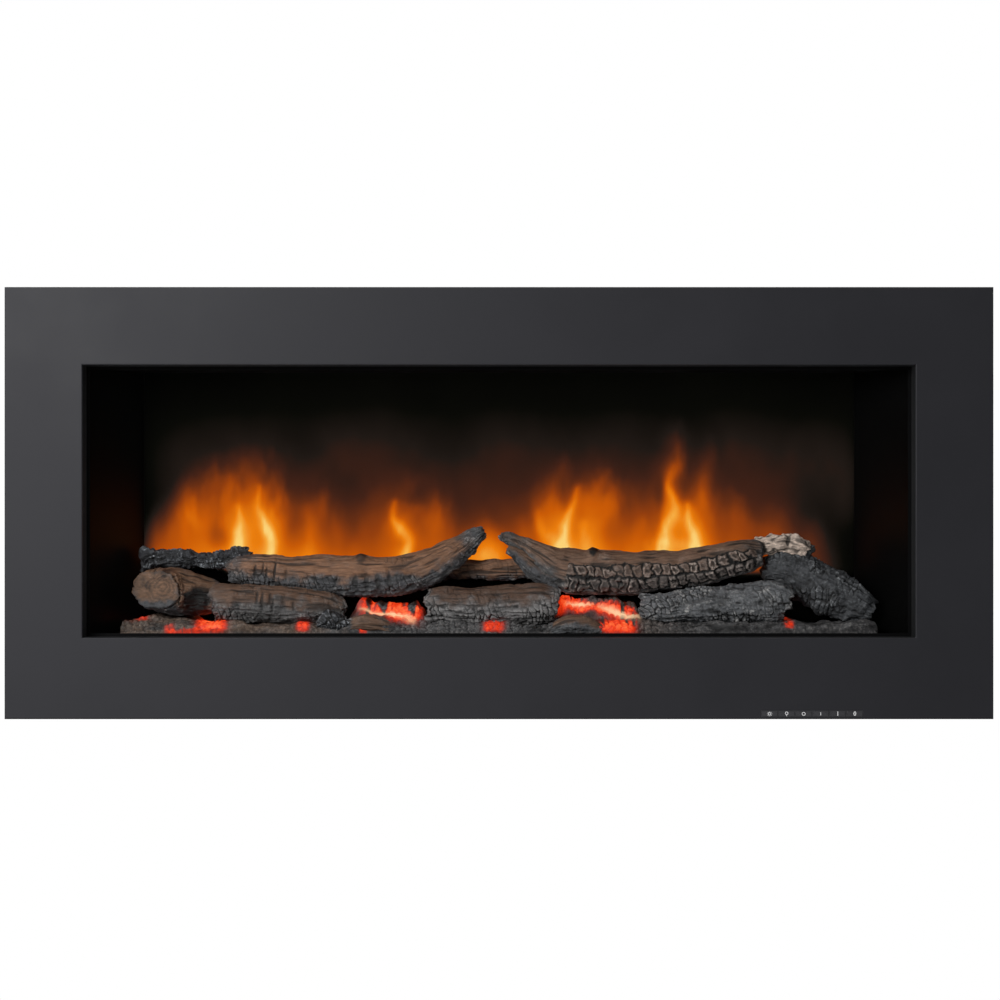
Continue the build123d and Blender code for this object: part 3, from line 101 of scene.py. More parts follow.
# ---- patterns on points
class Field:
    """Repeatable noise on arrays of points, for shaping meshes."""

    PRIMES = (73856093, 19349663, 83492791)

    @classmethod
    def hashed(cls, cells: np.ndarray, seed: int) -> np.ndarray:
        """A repeatable number from 0 to 1 for each row of whole numbers.

        Args:
            cells: Rows of whole numbers.
            seed: Chooses the pattern.

        Returns:
            One number for each row.
        """
        mixed = np.full(cells.shape[0], seed * 2654435761 % 2**32, np.uint32)
        for axis in range(cells.shape[1]):
            step = cells[:, axis].astype(np.int64) * cls.PRIMES[axis] & 0xFFFFFFFF
            mixed ^= step.astype(np.uint32)
            mixed = (mixed ^ (mixed >> np.uint32(15))) * np.uint32(2246822519)
            mixed ^= mixed >> np.uint32(13)
        return mixed / 2.0**32

    @classmethod
    def value(cls, points: np.ndarray, seed: int) -> np.ndarray:
        """Smooth noise from 0 to 1 with features about one unit wide."""
        base = np.floor(points)
        blend = points - base
        blend = blend * blend * (3 - 2 * blend)
        total = np.zeros(points.shape[0])
        axes = points.shape[1]
        for corner in range(2**axes):
            bits = np.array([corner >> axis & 1 for axis in range(axes)])
            weight = np.prod(np.where(bits == 1, blend, 1 - blend), axis=1)
            total += weight * cls.hashed(base + bits, seed)
        return total

    @classmethod
    def rough(cls, points: np.ndarray, size: float | tuple, seed: int, octaves: int = 4) -> np.ndarray:
        """Layered noise from about -1 to 1.

        Args:
            points: Where to read it.
            size: Width of the largest features, one number or one for each axis.
            seed: Chooses the pattern.
            octaves: How many finer layers are added.

        Returns:
            One number for each point.
        """
        scaled = points / np.asarray(size)
        total, weight, whole = np.zeros(points.shape[0]), 1.0, 0.0
        for layer in range(octaves):
            total += weight * (2 * cls.value(scaled * 2.0**layer + 17.3 * layer, seed + layer) - 1)
            whole += weight
            weight *= 0.55
        return total / whole * 1.6

    @classmethod
    def ridges(cls, points: np.ndarray, size: float | tuple, seed: int) -> np.ndarray:
        """Sharp-crested noise from 0 in the gaps to 1 on the crests."""
        return 1 - np.abs(np.clip(cls.rough(points, size, seed, 3), -1, 1))

    @classmethod
    def cells(cls, points: np.ndarray, size: float | tuple, seed: int) -> tuple[np.ndarray, np.ndarray]:
        """Cellular noise on two coordinates.

        Args:
            points: Rows of two coordinates.
            size: Width of a cell on each axis.
            seed: Chooses the pattern.

        Returns:
            The distance to the nearest wall between cells, and a number that each cell keeps.
        """
        scaled = points / np.asarray(size)
        base = np.floor(scaled)
        nearest = np.full(points.shape[0], FAR)
        second = nearest.copy()
        own = np.zeros(points.shape[0])
        for step_x in (-1, 0, 1):
            for step_y in (-1, 0, 1):
                cell = base + np.array([step_x, step_y])
                jitter = np.stack([cls.hashed(cell, seed), cls.hashed(cell, seed + 1)], axis=1)
                gap = np.linalg.norm(cell + 0.15 + 0.7 * jitter - scaled, axis=1)
                closer = gap < nearest
                second = np.where(closer, nearest, np.minimum(second, gap))
                own = np.where(closer, cls.hashed(cell, seed + 2), own)
                nearest = np.where(closer, gap, nearest)
        return second - nearest, own


def ease(low: float, high: float, value: np.ndarray) -> np.ndarray:
    """A smooth step from 0 at low to 1 at high."""
    share = np.clip((value - low) / (high - low), 0, 1)
    return share * share * (3 - 2 * share)


def bell(distance: np.ndarray) -> np.ndarray:
    """A soft bump of height 1 that fades over one unit."""
    return np.exp(-distance * distance)


def smooth_path(points: np.ndarray, share: np.ndarray) -> np.ndarray:
    """Reads a smooth curve through a few points.

    Args:
        points: One row for each point on the way, with two place columns first.
        share: Where to read it, from 0 at the first row to 1 at the last, by distance.

    Returns:
        One row for each share.
    """
    last = len(points) - 1
    reached = np.concatenate([[0.0], np.cumsum(np.linalg.norm(np.diff(points[:, :2], axis=0), axis=1))])
    place = np.interp(np.clip(share, 0, 1), reached / reached[-1], np.arange(last + 1))
    index = np.minimum(place.astype(int), last - 1)
    t = (place - index)[:, None]
    before = points[np.maximum(index - 1, 0)]
    here, after = points[index], points[index + 1]
    beyond = points[np.minimum(index + 2, last)]
    slope_in, slope_out = (after - before) / 2, (beyond - here) / 2
    return (
        (2 * t**3 - 3 * t**2 + 1) * here
        + (t**3 - 2 * t**2 + t) * slope_in
        + (3 * t**2 - 2 * t**3) * after
        + (t**3 - t**2) * slope_out
    )


# ---- shaping with operators
def settle() -> None:
    """Puts the selected piece's place, turn and size into its mesh."""
    bpy.ops.object.transform_apply(location=True, rotation=True, scale=True)


class Bench:
    """One piece on the bench: a primitive that is shaped with edit-mode operators."""

    def __init__(self, name: str, **kind: object) -> None:
        """Adds a primitive.

        Args:
            name: The piece's name.
            kind: The operator's name as add, and the operator's own settings.
        """
        if bpy.context.object and bpy.context.object.mode != "OBJECT":
            bpy.ops.object.mode_set(mode="OBJECT")
        bpy.ops.object.select_all(action="DESELECT")
        add = getattr(bpy.ops.mesh, str(kind.pop("add")))
        add(**kind)
        self.piece = bpy.context.object
        self.piece.name = name
        self.piece.data.name = name
        settle()

    @property
    def mesh(self) -> bpy.types.Mesh:
        """The piece's mesh."""
        return self.piece.data

    def pick(self, kind: str, test: Callable[[Vector, Vector], bool]) -> None:
        """Selects faces or edges by place, and leaves the piece in edit mode.

        Args:
            kind: FACE, whose test gets a middle and a normal, or EDGE, with a middle and a run.
            test: Says whether to select one.
        """
        bpy.ops.object.mode_set(mode="EDIT")
        bpy.ops.mesh.select_mode(type=kind)
        bpy.ops.mesh.select_all(action="DESELECT")
        bpy.ops.object.mode_set(mode="OBJECT")
        if kind == "FACE":
            for face in self.mesh.polygons:
                face.select = test(face.center, face.normal)
        else:
            points = self.mesh.vertices
            for edge in self.mesh.edges:
                a, b = points[edge.vertices[0]].co, points[edge.vertices[1]].co
                edge.select = test((a + b) / 2, b - a)
        bpy.ops.object.mode_set(mode="EDIT")

    def whole(self) -> None:
        """Selects the whole mesh in edit mode."""
        bpy.ops.object.mode_set(mode="EDIT")
        bpy.ops.mesh.select_all(action="SELECT")

    def done(self) -> None:
        """Leaves edit mode."""
        bpy.ops.object.mode_set(mode="OBJECT")

    def modify(self, kind: str, **settings: object) -> None:
        """Adds a modifier with its settings and applies it."""
        modifier = self.piece.modifiers.new(kind.lower(), kind)
        for key, value in settings.items():
            setattr(modifier, key, value)
        bpy.ops.object.modifier_apply(modifier=modifier.name)

    def points(self) -> np.ndarray:
        """The mesh's points, one row each."""
        flat = np.zeros(len(self.mesh.vertices) * 3)
        self.mesh.vertices.foreach_get("co", flat)
        return flat.reshape(-1, 3)

    def move(self, points: np.ndarray) -> None:
        """Puts the mesh's points where the rows say."""
        self.mesh.vertices.foreach_set("co", points.astype(np.float32).ravel())
        self.mesh.update()

    def mark(self, name: str, values: np.ndarray) -> None:
        """Stores one number for each point, for the finish to read."""
        attribute = self.mesh.attributes.new(name, "FLOAT", "POINT")
        attribute.data.foreach_set("value", values.astype(np.float32))

    def place(self, body: str, slot: str, finish: Material, *nodes: str) -> bpy.types.Object:
        """Dresses the piece and files it with the frame.

        Args:
            body: The CAD body that it moves with.
            slot: The record's material slot; not used.
            finish: Its material.
            nodes: CAD nodes that it stands for.

        Returns:
            The finished object.
        """
        self.mesh.materials.clear()
        self.mesh.materials.append(finish)
        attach(self.piece, body)
        if nodes:
            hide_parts(*nodes)
        LOG.info("%s: %d faces, rides on %s", self.piece.name, len(self.mesh.polygons), body)
        return self.piece


def rolled(name: str, around: int, rings: int, insets: tuple[float, ...]) -> Bench:
    """Models a fine roll of radius 1 along X, from -1 to 1, to be wrapped or pulled to shape.

    Args:
        name: The piece's name.
        around: Sides of the cylinder that it starts from.
        rings: Cuts along its length.
        insets: Steps of the rings on its ends.

    Returns:
        The roll on the bench.
    """
    lying = (0.0, math.pi / 2, 0.0)
    bench = Bench(name, add="primitive_cylinder_add", vertices=around, radius=1.0, depth=2.0, rotation=lying)
    bench.pick("EDGE", lambda middle, run: abs(run.x) > 1.0)
    bpy.ops.mesh.subdivide(number_cuts=rings)
    bench.pick("FACE", lambda middle, normal: abs(normal.x) > 0.9)
    for depth in insets:
        bpy.ops.mesh.inset(thickness=depth)
    bench.done()
    bench.modify("SUBSURF", levels=3, render_levels=3)
    return bench


# ---- node trees
class Graph:
    """The node tree of one material, built by short calls."""

    def __init__(self, name: str) -> None:
        """Starts an empty material."""
        self.material = bpy.data.materials.new(name)
        self.material.use_nodes = True
        self.tree = self.material.node_tree
        self.tree.nodes.clear()
        self.place = self.node("TexCoord").outputs["Object"]

    def node(self, kind: str, feeds: dict | None = None, **settings: object) -> bpy.types.Node:
        """Adds a node.

        Args:
            kind: The node's type, without its ShaderNode prefix.
            feeds: What goes into each input: a socket to link, or a value.
            settings: The node's own settings.

        Returns:
            The node.
        """
        node = self.tree.nodes.new("ShaderNode" + kind)
        for key, value in settings.items():
            setattr(node, key, value)
        for key, value in (feeds or {}).items():
            if isinstance(value, Socket):
                self.tree.links.new(value, node.inputs[key])
            else:
                node.inputs[key].default_value = value
        return node

    def stretched(self, x: float, y: float, z: float) -> Socket:
        """The piece's coordinates, scaled on each axis."""
        return self.node("Mapping", {"Vector": self.place, "Scale": (x, y, z)}).outputs["Vector"]

    def noise(
        self, scale: float, detail: float = 3.0, roughness: float = 0.55, vector: object = None
    ) -> Socket:
        """Noise from 0 to 1, whose features are about one over scale metres wide."""
        feeds = {"Vector": vector or self.place, "Scale": scale, "Detail": detail, "Roughness": roughness}
        return self.node("TexNoise", feeds).outputs["Fac"]

    def cells(self, scale: float, feature: str = "F1", output: str = "Distance") -> Socket:
        """Cellular noise: its distance, or the colour that each cell keeps."""
        feeds = {"Vector": self.place, "Scale": scale}
        return self.node("TexVoronoi", feeds, feature=feature).outputs[output]

    def axis(self, letter: str) -> Socket:
        """One of the piece's coordinates, in metres."""
        return self.node("SeparateXYZ", {"Vector": self.place}).outputs[letter]

    def math(self, operation: str, a: object, b: object = 0.0) -> Socket:
        """One step of arithmetic."""
        return self.node("Math", {0: a, 1: b}, operation=operation).outputs[0]

    def times(self, a: object, b: object) -> Socket:
        """The product of two values."""
        return self.math("MULTIPLY", a, b)

    def waves(self, scale: float, distortion: float, direction: str = "X") -> Socket:
        """Bands across one axis."""
        feeds = {"Vector": self.place, "Scale": scale, "Distortion": distortion}
        return self.node("TexWave", feeds, bands_direction=direction).outputs["Fac"]

    def levels(
        self, value: object, low: float, high: float, to_low: float = 0.0, to_high: float = 1.0
    ) -> Socket:
        """Stretches a value from low..high to to_low..to_high, clamped."""
        feeds = {"Value": value, "From Min": low, "From Max": high, "To Min": to_low, "To Max": to_high}
        return self.node("MapRange", feeds).outputs["Result"]

    def ramp(self, value: object, stops: list[tuple[float, Colour]], hard: bool = False) -> Socket:
        """Colours along a value, blended or in hard bands."""
        node = self.node("ValToRGB", {"Fac": value})
        band = node.color_ramp
        band.interpolation = "CONSTANT" if hard else "LINEAR"
        band.elements.remove(band.elements[1])
        band.elements[0].position, band.elements[0].color = stops[0]
        for position, colour in stops[1:]:
            band.elements.new(position).color = colour
        return node.outputs["Color"]

    def mix(self, share: object, a: object, b: object) -> Socket:
        """Mixes two colours."""
        return self.node("Mix", {0: share, 6: a, 7: b}, data_type="RGBA").outputs[2]

    def mark(self, name: str) -> Socket:
        """A number stored on the piece's points."""
        return self.node("Attribute", attribute_name=name).outputs["Fac"]

    def bump(self, height: object, depth: float, strength: float = 1.0, under: object = None) -> object:
        """Relief of the given depth in metres, over another relief if there is one."""
        feeds = {"Height": height, "Distance": depth, "Strength": strength}
        if under is not None:
            feeds["Normal"] = under
        return self.node("Bump", feeds).outputs["Normal"]

    def shader(
        self, base: object, roughness: object, normal: object = None, metal: float = 0.0,
        gloss: float = 0.5, light: object = None, power: float = 0.0,
    ) -> Socket:
        """The main shader.

        Args:
            base: The surface's colour.
            roughness: Its roughness.
            normal: Its relief.
            metal: One for bare metal.
            gloss: Strength of the reflection on what isn't metal.
            light: The colour that it gives off.
            power: How strongly it gives it off.

        Returns:
            The shader's output.
        """
        feeds = {"Base Color": base, "Roughness": roughness, "Metallic": metal}
        feeds |= {"Specular IOR Level": gloss, "Emission Strength": power}
        if normal is not None:
            feeds["Normal"] = normal
        if light is not None:
            feeds["Emission Color"] = light
        return self.node("BsdfPrincipled", feeds).outputs["BSDF"]

    def surface(self, *inputs: object, **more: object) -> Material:
        """Ends the tree with the main shader, whose inputs are given, and gives the material."""
        return self.done(self.shader(*inputs, **more))

    def done(self, shader: Socket) -> Material:
        """Ends the tree with a shader, and gives the material."""
        self.node("OutputMaterial", {"Surface": shader})
        return self.material


# ---- finishes
@dataclass(frozen=True)
class PowderCoat:
    """Baked powder paint: faint cloudiness, fine orange peel and a satin sheen, with painted shade that can
    blacken a box and the part below a height.
    """

    colour: Colour
    roughness: float = 0.5
    cloud: float = 0.12
    peel: float = 0.00003
    gloss: float = 0.5
    reveal: tuple[Vector, Vector] | None = None  # corners of a box inside which painted shade makes the coat black
    hem: float = -FAR  # and painted shade makes it black lower than this

    def material(self, name: str) -> Material:
        """Builds the finish."""
        g = Graph(name)
        clouds = g.noise(7.0, 5.0, 0.6)
        dark = toned(self.colour, 1 - self.cloud)
        light = toned(self.colour, 1 + self.cloud)
        base = g.ramp(clouds, [(0.3, dark), (0.7, light)])
        grain = g.noise(900.0, 2.0)
        roughness = g.levels(clouds, 0.3, 0.7, self.roughness - 0.04, self.roughness + 0.05)
        if self.reveal:
            # painted shade: near-black inside the window's returns and along the fascia's lower edge
            black = self.blacked(g)
            base = g.mix(black, base, srgb(9, 10, 12))
            roughness = g.math("ADD", roughness, g.times(black, 0.3))
        normal = g.bump(grain, self.peel)
        return g.surface(base, roughness, normal, gloss=self.gloss)

    def blacked(self, g: Graph) -> Socket:
        """The painted shade: one inside the box and lower than the height, and zero elsewhere."""
        black = 1.0
        for letter, low, high in zip("XYZ", *self.reveal):
            place = g.axis(letter)
            black = g.times(g.math("GREATER_THAN", place, low), black)
            black = g.times(g.math("LESS_THAN", place, high), black)
        return g.math("MAXIMUM", black, g.math("LESS_THAN", g.axis("Z"), self.hem))


@dataclass(frozen=True)
class Sheet:
    """Bare metal sheet or bar with fine marks drawn out along one axis."""

    colour: Colour
    roughness: float = 0.35
    grain: tuple[float, float, float] = (40.0, 900.0, 900.0)
    dull: float = 0.0

    def material(self, name: str) -> Material:
        """Builds the finish."""
        g = Graph(name)
        lines = g.noise(1.0, 4.0, 0.7, g.stretched(*self.grain))
        stains = g.noise(30.0, 4.0)
        dark = toned(self.colour, 0.72)
        base = g.mix(g.levels(stains, 0.35, 0.7, 0.0, 0.6), self.colour, dark)
        roughness = g.levels(lines, 0.2, 0.8, self.roughness - 0.1, self.roughness + 0.15)
        normal = g.bump(lines, 0.00002, 0.6)
        return g.surface(base, roughness, normal, metal=1.0 - self.dull)


@dataclass(frozen=True)
class Galvanised:
    """Zinc-dipped steel with its crystal spangle."""

    spangle: float = 210.0

    def material(self, name: str) -> Material:
        """Builds the finish."""
        g = Graph(name)
        tone = g.node("RGBToBW", {"Color": g.cells(self.spangle, "F1", "Color")}).outputs["Val"]
        dark, pale = (0.1, srgb(142, 147, 150)), (0.9, srgb(180, 183, 185))
        base = g.ramp(tone, [dark, (0.5, srgb(160, 164, 166)), pale])
        roughness = g.levels(tone, 0.1, 0.9, 0.34, 0.58)
        edges = g.cells(self.spangle, "DISTANCE_TO_EDGE")
        normal = g.bump(g.levels(edges, 0.0, 0.12), 0.00003, 0.5)
        return g.surface(base, roughness, normal, metal=0.9)


@dataclass(frozen=True)
class Moulded:
    """Injection-moulded plastic or rubber: spark-eroded grain and slight clouding."""

    colour: Colour
    roughness: float = 0.5
    grain: float = 1200.0
    relief: float = 0.00003

    def material(self, name: str) -> Material:
        """Builds the finish."""
        g = Graph(name)
        clouds = g.noise(45.0, 4.0)
        dark = toned(self.colour, 0.84)
        light = toned(self.colour, 1.12, 1.0)
        base = g.ramp(clouds, [(0.32, dark), (0.68, light)])
        grain = g.noise(self.grain, 2.0)
        roughness = g.levels(grain, 0.3, 0.7, self.roughness - 0.05, self.roughness + 0.07)
        normal = g.bump(grain, self.relief)
        return g.surface(base, roughness, normal)


@dataclass(frozen=True)
class Enamel:
    """Near-black gloss paint on slightly wavy sheet."""

    colour: Colour
    roughness: float = 0.28
    gloss: float = 0.16

    def material(self, name: str) -> Material:
        """Builds the finish."""
        g = Graph(name)
        waves = g.noise(11.0, 2.0)
        dust = g.noise(160.0, 5.0, 0.7)
        light = toned(self.colour, 1.8)
        base = g.ramp(dust, [(0.45, self.colour), (0.8, light)])
        roughness = g.levels(dust, 0.35, 0.75, self.roughness, self.roughness + 0.16)
        normal = g.bump(waves, 0.0005, 0.5)
        return g.surface(base, roughness, normal, gloss=self.gloss)


@dataclass(frozen=True)
class Foil:
    """Thin mirror foil or polished sheet, creased and lightly scratched."""

    crease: float = 0.0004
    roughness: float = 0.12

    def material(self, name: str) -> Material:
        """Builds the finish."""
        g = Graph(name)
        creases = g.cells(120.0, "DISTANCE_TO_EDGE")
        scratches = g.noise(1.0, 4.0, 0.7, g.stretched(30.0, 500.0, 1400.0))
        base = g.ramp(scratches, [(0.3, srgb(176, 178, 182)), (0.7, srgb(214, 216, 218))])
        roughness = g.levels(scratches, 0.3, 0.7, self.roughness, self.roughness + 0.12)
        normal = g.bump(creases, self.crease, 0.6)
        return g.surface(base, roughness, normal, metal=1.0)


@dataclass(frozen=True)
class MotorCore:
    """Stack of laminations with a taped copper coil under it."""

    coil_top: float
    pitch: float = 0.0005
    bands: float = 20.0  # that a wave pattern has in one unit at a scale of 1

    def material(self, name: str) -> Material:
        """Builds the finish."""
        g = Graph(name)
        plates = g.waves(1 / self.pitch / self.bands, 0.3)
        iron = g.ramp(plates, [(0.2, srgb(58, 58, 62)), (0.8, srgb(128, 130, 134))])
        turns = g.waves(160.0, 0.6, "Y")
        copper = g.ramp(turns, [(0.2, srgb(96, 42, 18)), (0.8, srgb(196, 108, 58))])
        below = g.math("LESS_THAN", g.axis("Z"), self.coil_top)
        base = g.mix(below, iron, copper)
        roughness = g.levels(plates, 0.0, 1.0, 0.34, 0.55)
        normal = g.bump(plates, 0.0001, 0.7)
        return g.surface(base, roughness, normal, metal=0.9)


@dataclass(frozen=True)
class CircuitBoard:
    """Solder mask with copper tracks under it, and dark components above the board."""

    letter: str
    level: float
    upwards: bool
    mask: Colour = srgb(18, 74, 44)
    track: Colour = srgb(44, 118, 70)
    part: Colour = srgb(30, 32, 38)

    def material(self, name: str) -> Material:
        """Builds the finish."""
        g = Graph(name)
        feeds = {"Vector": g.place, "Scale": 210.0, "Mortar Size": 0.06, "Brick Width": 1.3}
        tracks = g.node("TexBrick", feeds).outputs["Fac"]
        lands = g.levels(g.cells(320.0), 0.18, 0.12)
        board = g.mix(tracks, self.mask, self.track)
        board = g.mix(g.times(lands, 0.8), board, srgb(190, 188, 178))
        above = g.math("GREATER_THAN" if self.upwards else "LESS_THAN", g.axis(self.letter), self.level)
        speckle = g.noise(260.0, 3.0)
        parts = g.ramp(speckle, [(0.35, self.part), (0.7, toned(self.part, 1.6))])
        base = g.mix(above, board, parts)
        roughness = g.levels(speckle, 0.3, 0.7, 0.3, 0.46)
        normal = g.bump(tracks, 0.00005, 0.6)
        return g.surface(base, roughness, normal)


@dataclass(frozen=True)
class Frosted:
    """Opal lens over the downlight, softly lit from behind."""

    glow: float = 0.35

    def material(self, name: str) -> Material:
        """Builds the finish."""
        g = Graph(name)
        clouds = g.noise(60.0, 4.0)
        base = g.ramp(clouds, [(0.3, grey(196)), (0.7, grey(226))])
        light = g.ramp(clouds, [(0.3, srgb(214, 206, 190)), (0.7, srgb(240, 232, 214))])
        normal = g.bump(g.noise(1500.0, 2.0), 0.00004)
        roughness = g.levels(clouds, 0.3, 0.7, 0.5, 0.62)
        return g.surface(base, roughness, normal, light=light, power=self.glow)


@dataclass(frozen=True)
class Wires:
    """PVC sheaths in four colours, one after another along the harness."""

    bounds: tuple[float, float, float] = (0.27, 0.42, 0.62)

    def material(self, name: str) -> Material:
        """Builds the finish."""
        g = Graph(name)
        along = g.levels(g.axis("X"), 0.15, 0.48)
        one, two, three = self.bounds
        sheaths = [(0.0, grey(34)), (one, grey(176)), (two, srgb(92, 54, 34)), (three, srgb(28, 62, 128))]
        base = g.ramp(along, sheaths, hard=True)
        scuffs = g.noise(400.0, 3.0)
        base = g.mix(g.levels(scuffs, 0.5, 0.8, 0.0, 0.3), base, grey(120))
        roughness = g.levels(scuffs, 0.3, 0.7, 0.34, 0.5)
        return g.surface(base, roughness, g.bump(scuffs, 0.00003))


@dataclass(frozen=True)
class ClearGlass:
    """Coated clear glass: lamps and sight pass through, with a thin Fresnel reflection."""

    index: float = 1.09

    def material(self, name: str) -> Material:
        """Builds the finish."""
        g = Graph(name)
        smears = g.noise(9.0, 4.0, 0.6)
        clear = g.node("BsdfTransparent", {"Color": (0.985, 0.99, 0.988, 1.0)}).outputs["BSDF"]
        tint = g.ramp(smears, [(0.3, grey(236)), (0.7, grey(255))])
        roughness = g.levels(smears, 0.35, 0.75, 0.0, 0.03)
        mirror = g.shader(tint, roughness, metal=1.0)
        share = g.node("Fresnel", {"IOR": self.index}).outputs["Fac"]
        return g.done(g.node("MixShader", {0: share, 1: clear, 2: mirror}).outputs["Shader"])


@dataclass(frozen=True)
class Bark:
    """Painted resin log: brown wood, blue-grey char, black cracks with painted shade in hollows, pits and
    gaps, and pale ashes with painted highlight on crests and rims.
    """

    wood: Colour
    coal: Colour
    ash: Colour = srgb(150, 146, 144)
    contrast: float = 1.0

    def material(self, name: str) -> Material:
        """Builds the finish. It reads the marks char, crack and ash."""
        g = Graph(name)
        fibres = g.noise(1.0, 6.0, 0.68, g.stretched(70.0, 420.0, 420.0))
        specks = g.noise(330.0, 6.0, 0.75)
        blotches = g.noise(38.0, 4.0, 0.6)
        wood = self.tones(g, fibres, blotches, 0.7, self.wood)
        coal = self.tones(g, specks, blotches, 0.65, self.coal)
        base = g.mix(g.mark("char"), wood, coal)
        # pale flecks of ashes, and painted highlight on crests and rims
        flecks = g.times(g.levels(specks, 0.42, 0.60), g.mark("ash"))
        base = g.mix(flecks, base, self.ash)
        # dark cracks, and painted shade in hollows, pits and gaps
        base = g.mix(g.mark("crack"), base, srgb(14, 12, 11))
        roughness = g.levels(specks, 0.3, 0.7, 0.62, 0.88)
        normal = g.bump(fibres, 0.0007, 0.55)
        normal = g.bump(specks, 0.0005, 0.5, normal)
        return g.surface(base, roughness, normal)

    def tones(self, g: Graph, fine: Socket, broad: Socket, share: float, colour: Colour) -> Socket:
        """A colour in three tones, by a fine pattern and a broad one. The fine one counts for share."""
        blend = g.math("ADD", g.times(fine, share), g.times(broad, round(1 - share, 2)))
        dark = toned(colour, 1 - 0.45 * self.contrast)
        pale = toned(colour, 1 + 0.6 * self.contrast, 1.0)
        return g.ramp(blend, [(0.34, dark), (0.49, colour), (0.66, pale)])


@dataclass(frozen=True)
class Embers:
    """Translucent resin bed painted as ashes and charcoal, lit red from below."""

    glow: float = 1.0

    def material(self, name: str) -> Material:
        """Builds the finish. It reads the marks warm, glow, hot and crack."""
        g = Graph(name)
        specks = g.noise(300.0, 6.0, 0.72)
        coals = self.stones(g, specks, srgb(36, 36, 38), srgb(80, 78, 79), srgb(150, 146, 143))
        ashes = self.stones(g, specks, srgb(46, 36, 30), srgb(94, 76, 64), srgb(148, 128, 112))
        base = g.mix(g.mark("warm"), coals, ashes)
        # dark cracks between the stones, and painted shade in the hollows and at the bed's left end
        base = g.mix(g.mark("crack"), base, srgb(12, 11, 11))
        base = g.mix(g.levels(g.mark("glow"), 0.1, 0.6), base, srgb(58, 12, 6))
        flicker = g.levels(g.noise(190.0, 4.0, 0.65), 0.3, 0.68, 0.62, 1.12)
        heat = g.times(g.mark("glow"), flicker)
        dim = [(0.0, grey(0)), (0.2, srgb(70, 14, 4)), (0.45, srgb(172, 34, 8))]
        light = g.ramp(heat, dim + [(0.7, srgb(240, 60, 20)), (1.0, srgb(255, 110, 56))])
        light = g.mix(g.mark("hot"), light, srgb(255, 208, 160))
        normal = g.bump(specks, 0.0008, 0.6)
        roughness = g.levels(specks, 0.3, 0.7, 0.5, 0.85)
        return g.surface(base, roughness, normal, light=light, power=self.glow)

    def stones(self, g: Graph, specks: Socket, *colours: Colour) -> Socket:
        """Three colours, from the hollows of a pattern to its crests."""
        return g.ramp(specks, list(zip((0.3, 0.52, 0.75), colours)))


@dataclass(frozen=True)
class FlameLight:
    """Diffuser that shows the flame image as light on a dark satin sheet."""

    strength: float = 1.0

    def material(self, name: str) -> Material:
        """Builds the finish. It reads the mark blaze, from 0 dark to 1 pale yellow."""
        g = Graph(name)
        dim = [(0.0, grey(0)), (0.06, srgb(8, 8, 5)), (0.12, srgb(32, 25, 21)), (0.20, srgb(66, 34, 23))]
        orange = [(0.30, srgb(104, 47, 20)), (0.42, srgb(150, 64, 14)), (0.58, srgb(204, 92, 6))]
        pale = [(0.74, srgb(238, 128, 14)), (0.88, srgb(248, 168, 60)), (1.0, srgb(255, 212, 120))]
        light = g.ramp(g.mark("blaze"), dim + orange + pale)
        grain = g.noise(700.0, 2.0)
        base = g.ramp(grain, [(0.3, grey(0.5)), (0.7, grey(1.2))])
        roughness = g.levels(grain, 0.3, 0.7, 0.4, 0.5)
        return g.surface(base, roughness, gloss=0.0, light=light, power=self.strength)


@dataclass(frozen=True)
class PrintedMark:
    """Pad-printed pale ink with slightly uneven cover."""

    colour: Colour

    def material(self, name: str) -> Material:
        """Builds the finish."""
        g = Graph(name)
        cover = g.noise(2500.0, 3.0)
        dark = toned(self.colour, 0.8)
        base = g.ramp(cover, [(0.3, dark), (0.6, self.colour)])
        roughness = g.levels(cover, 0.3, 0.7, 0.5, 0.6)
        return g.surface(base, roughness)


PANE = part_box("front_glass")
REVEAL_START = CAD_BOX[0].y + 3.5 * MM  # behind the rounded edge of the window
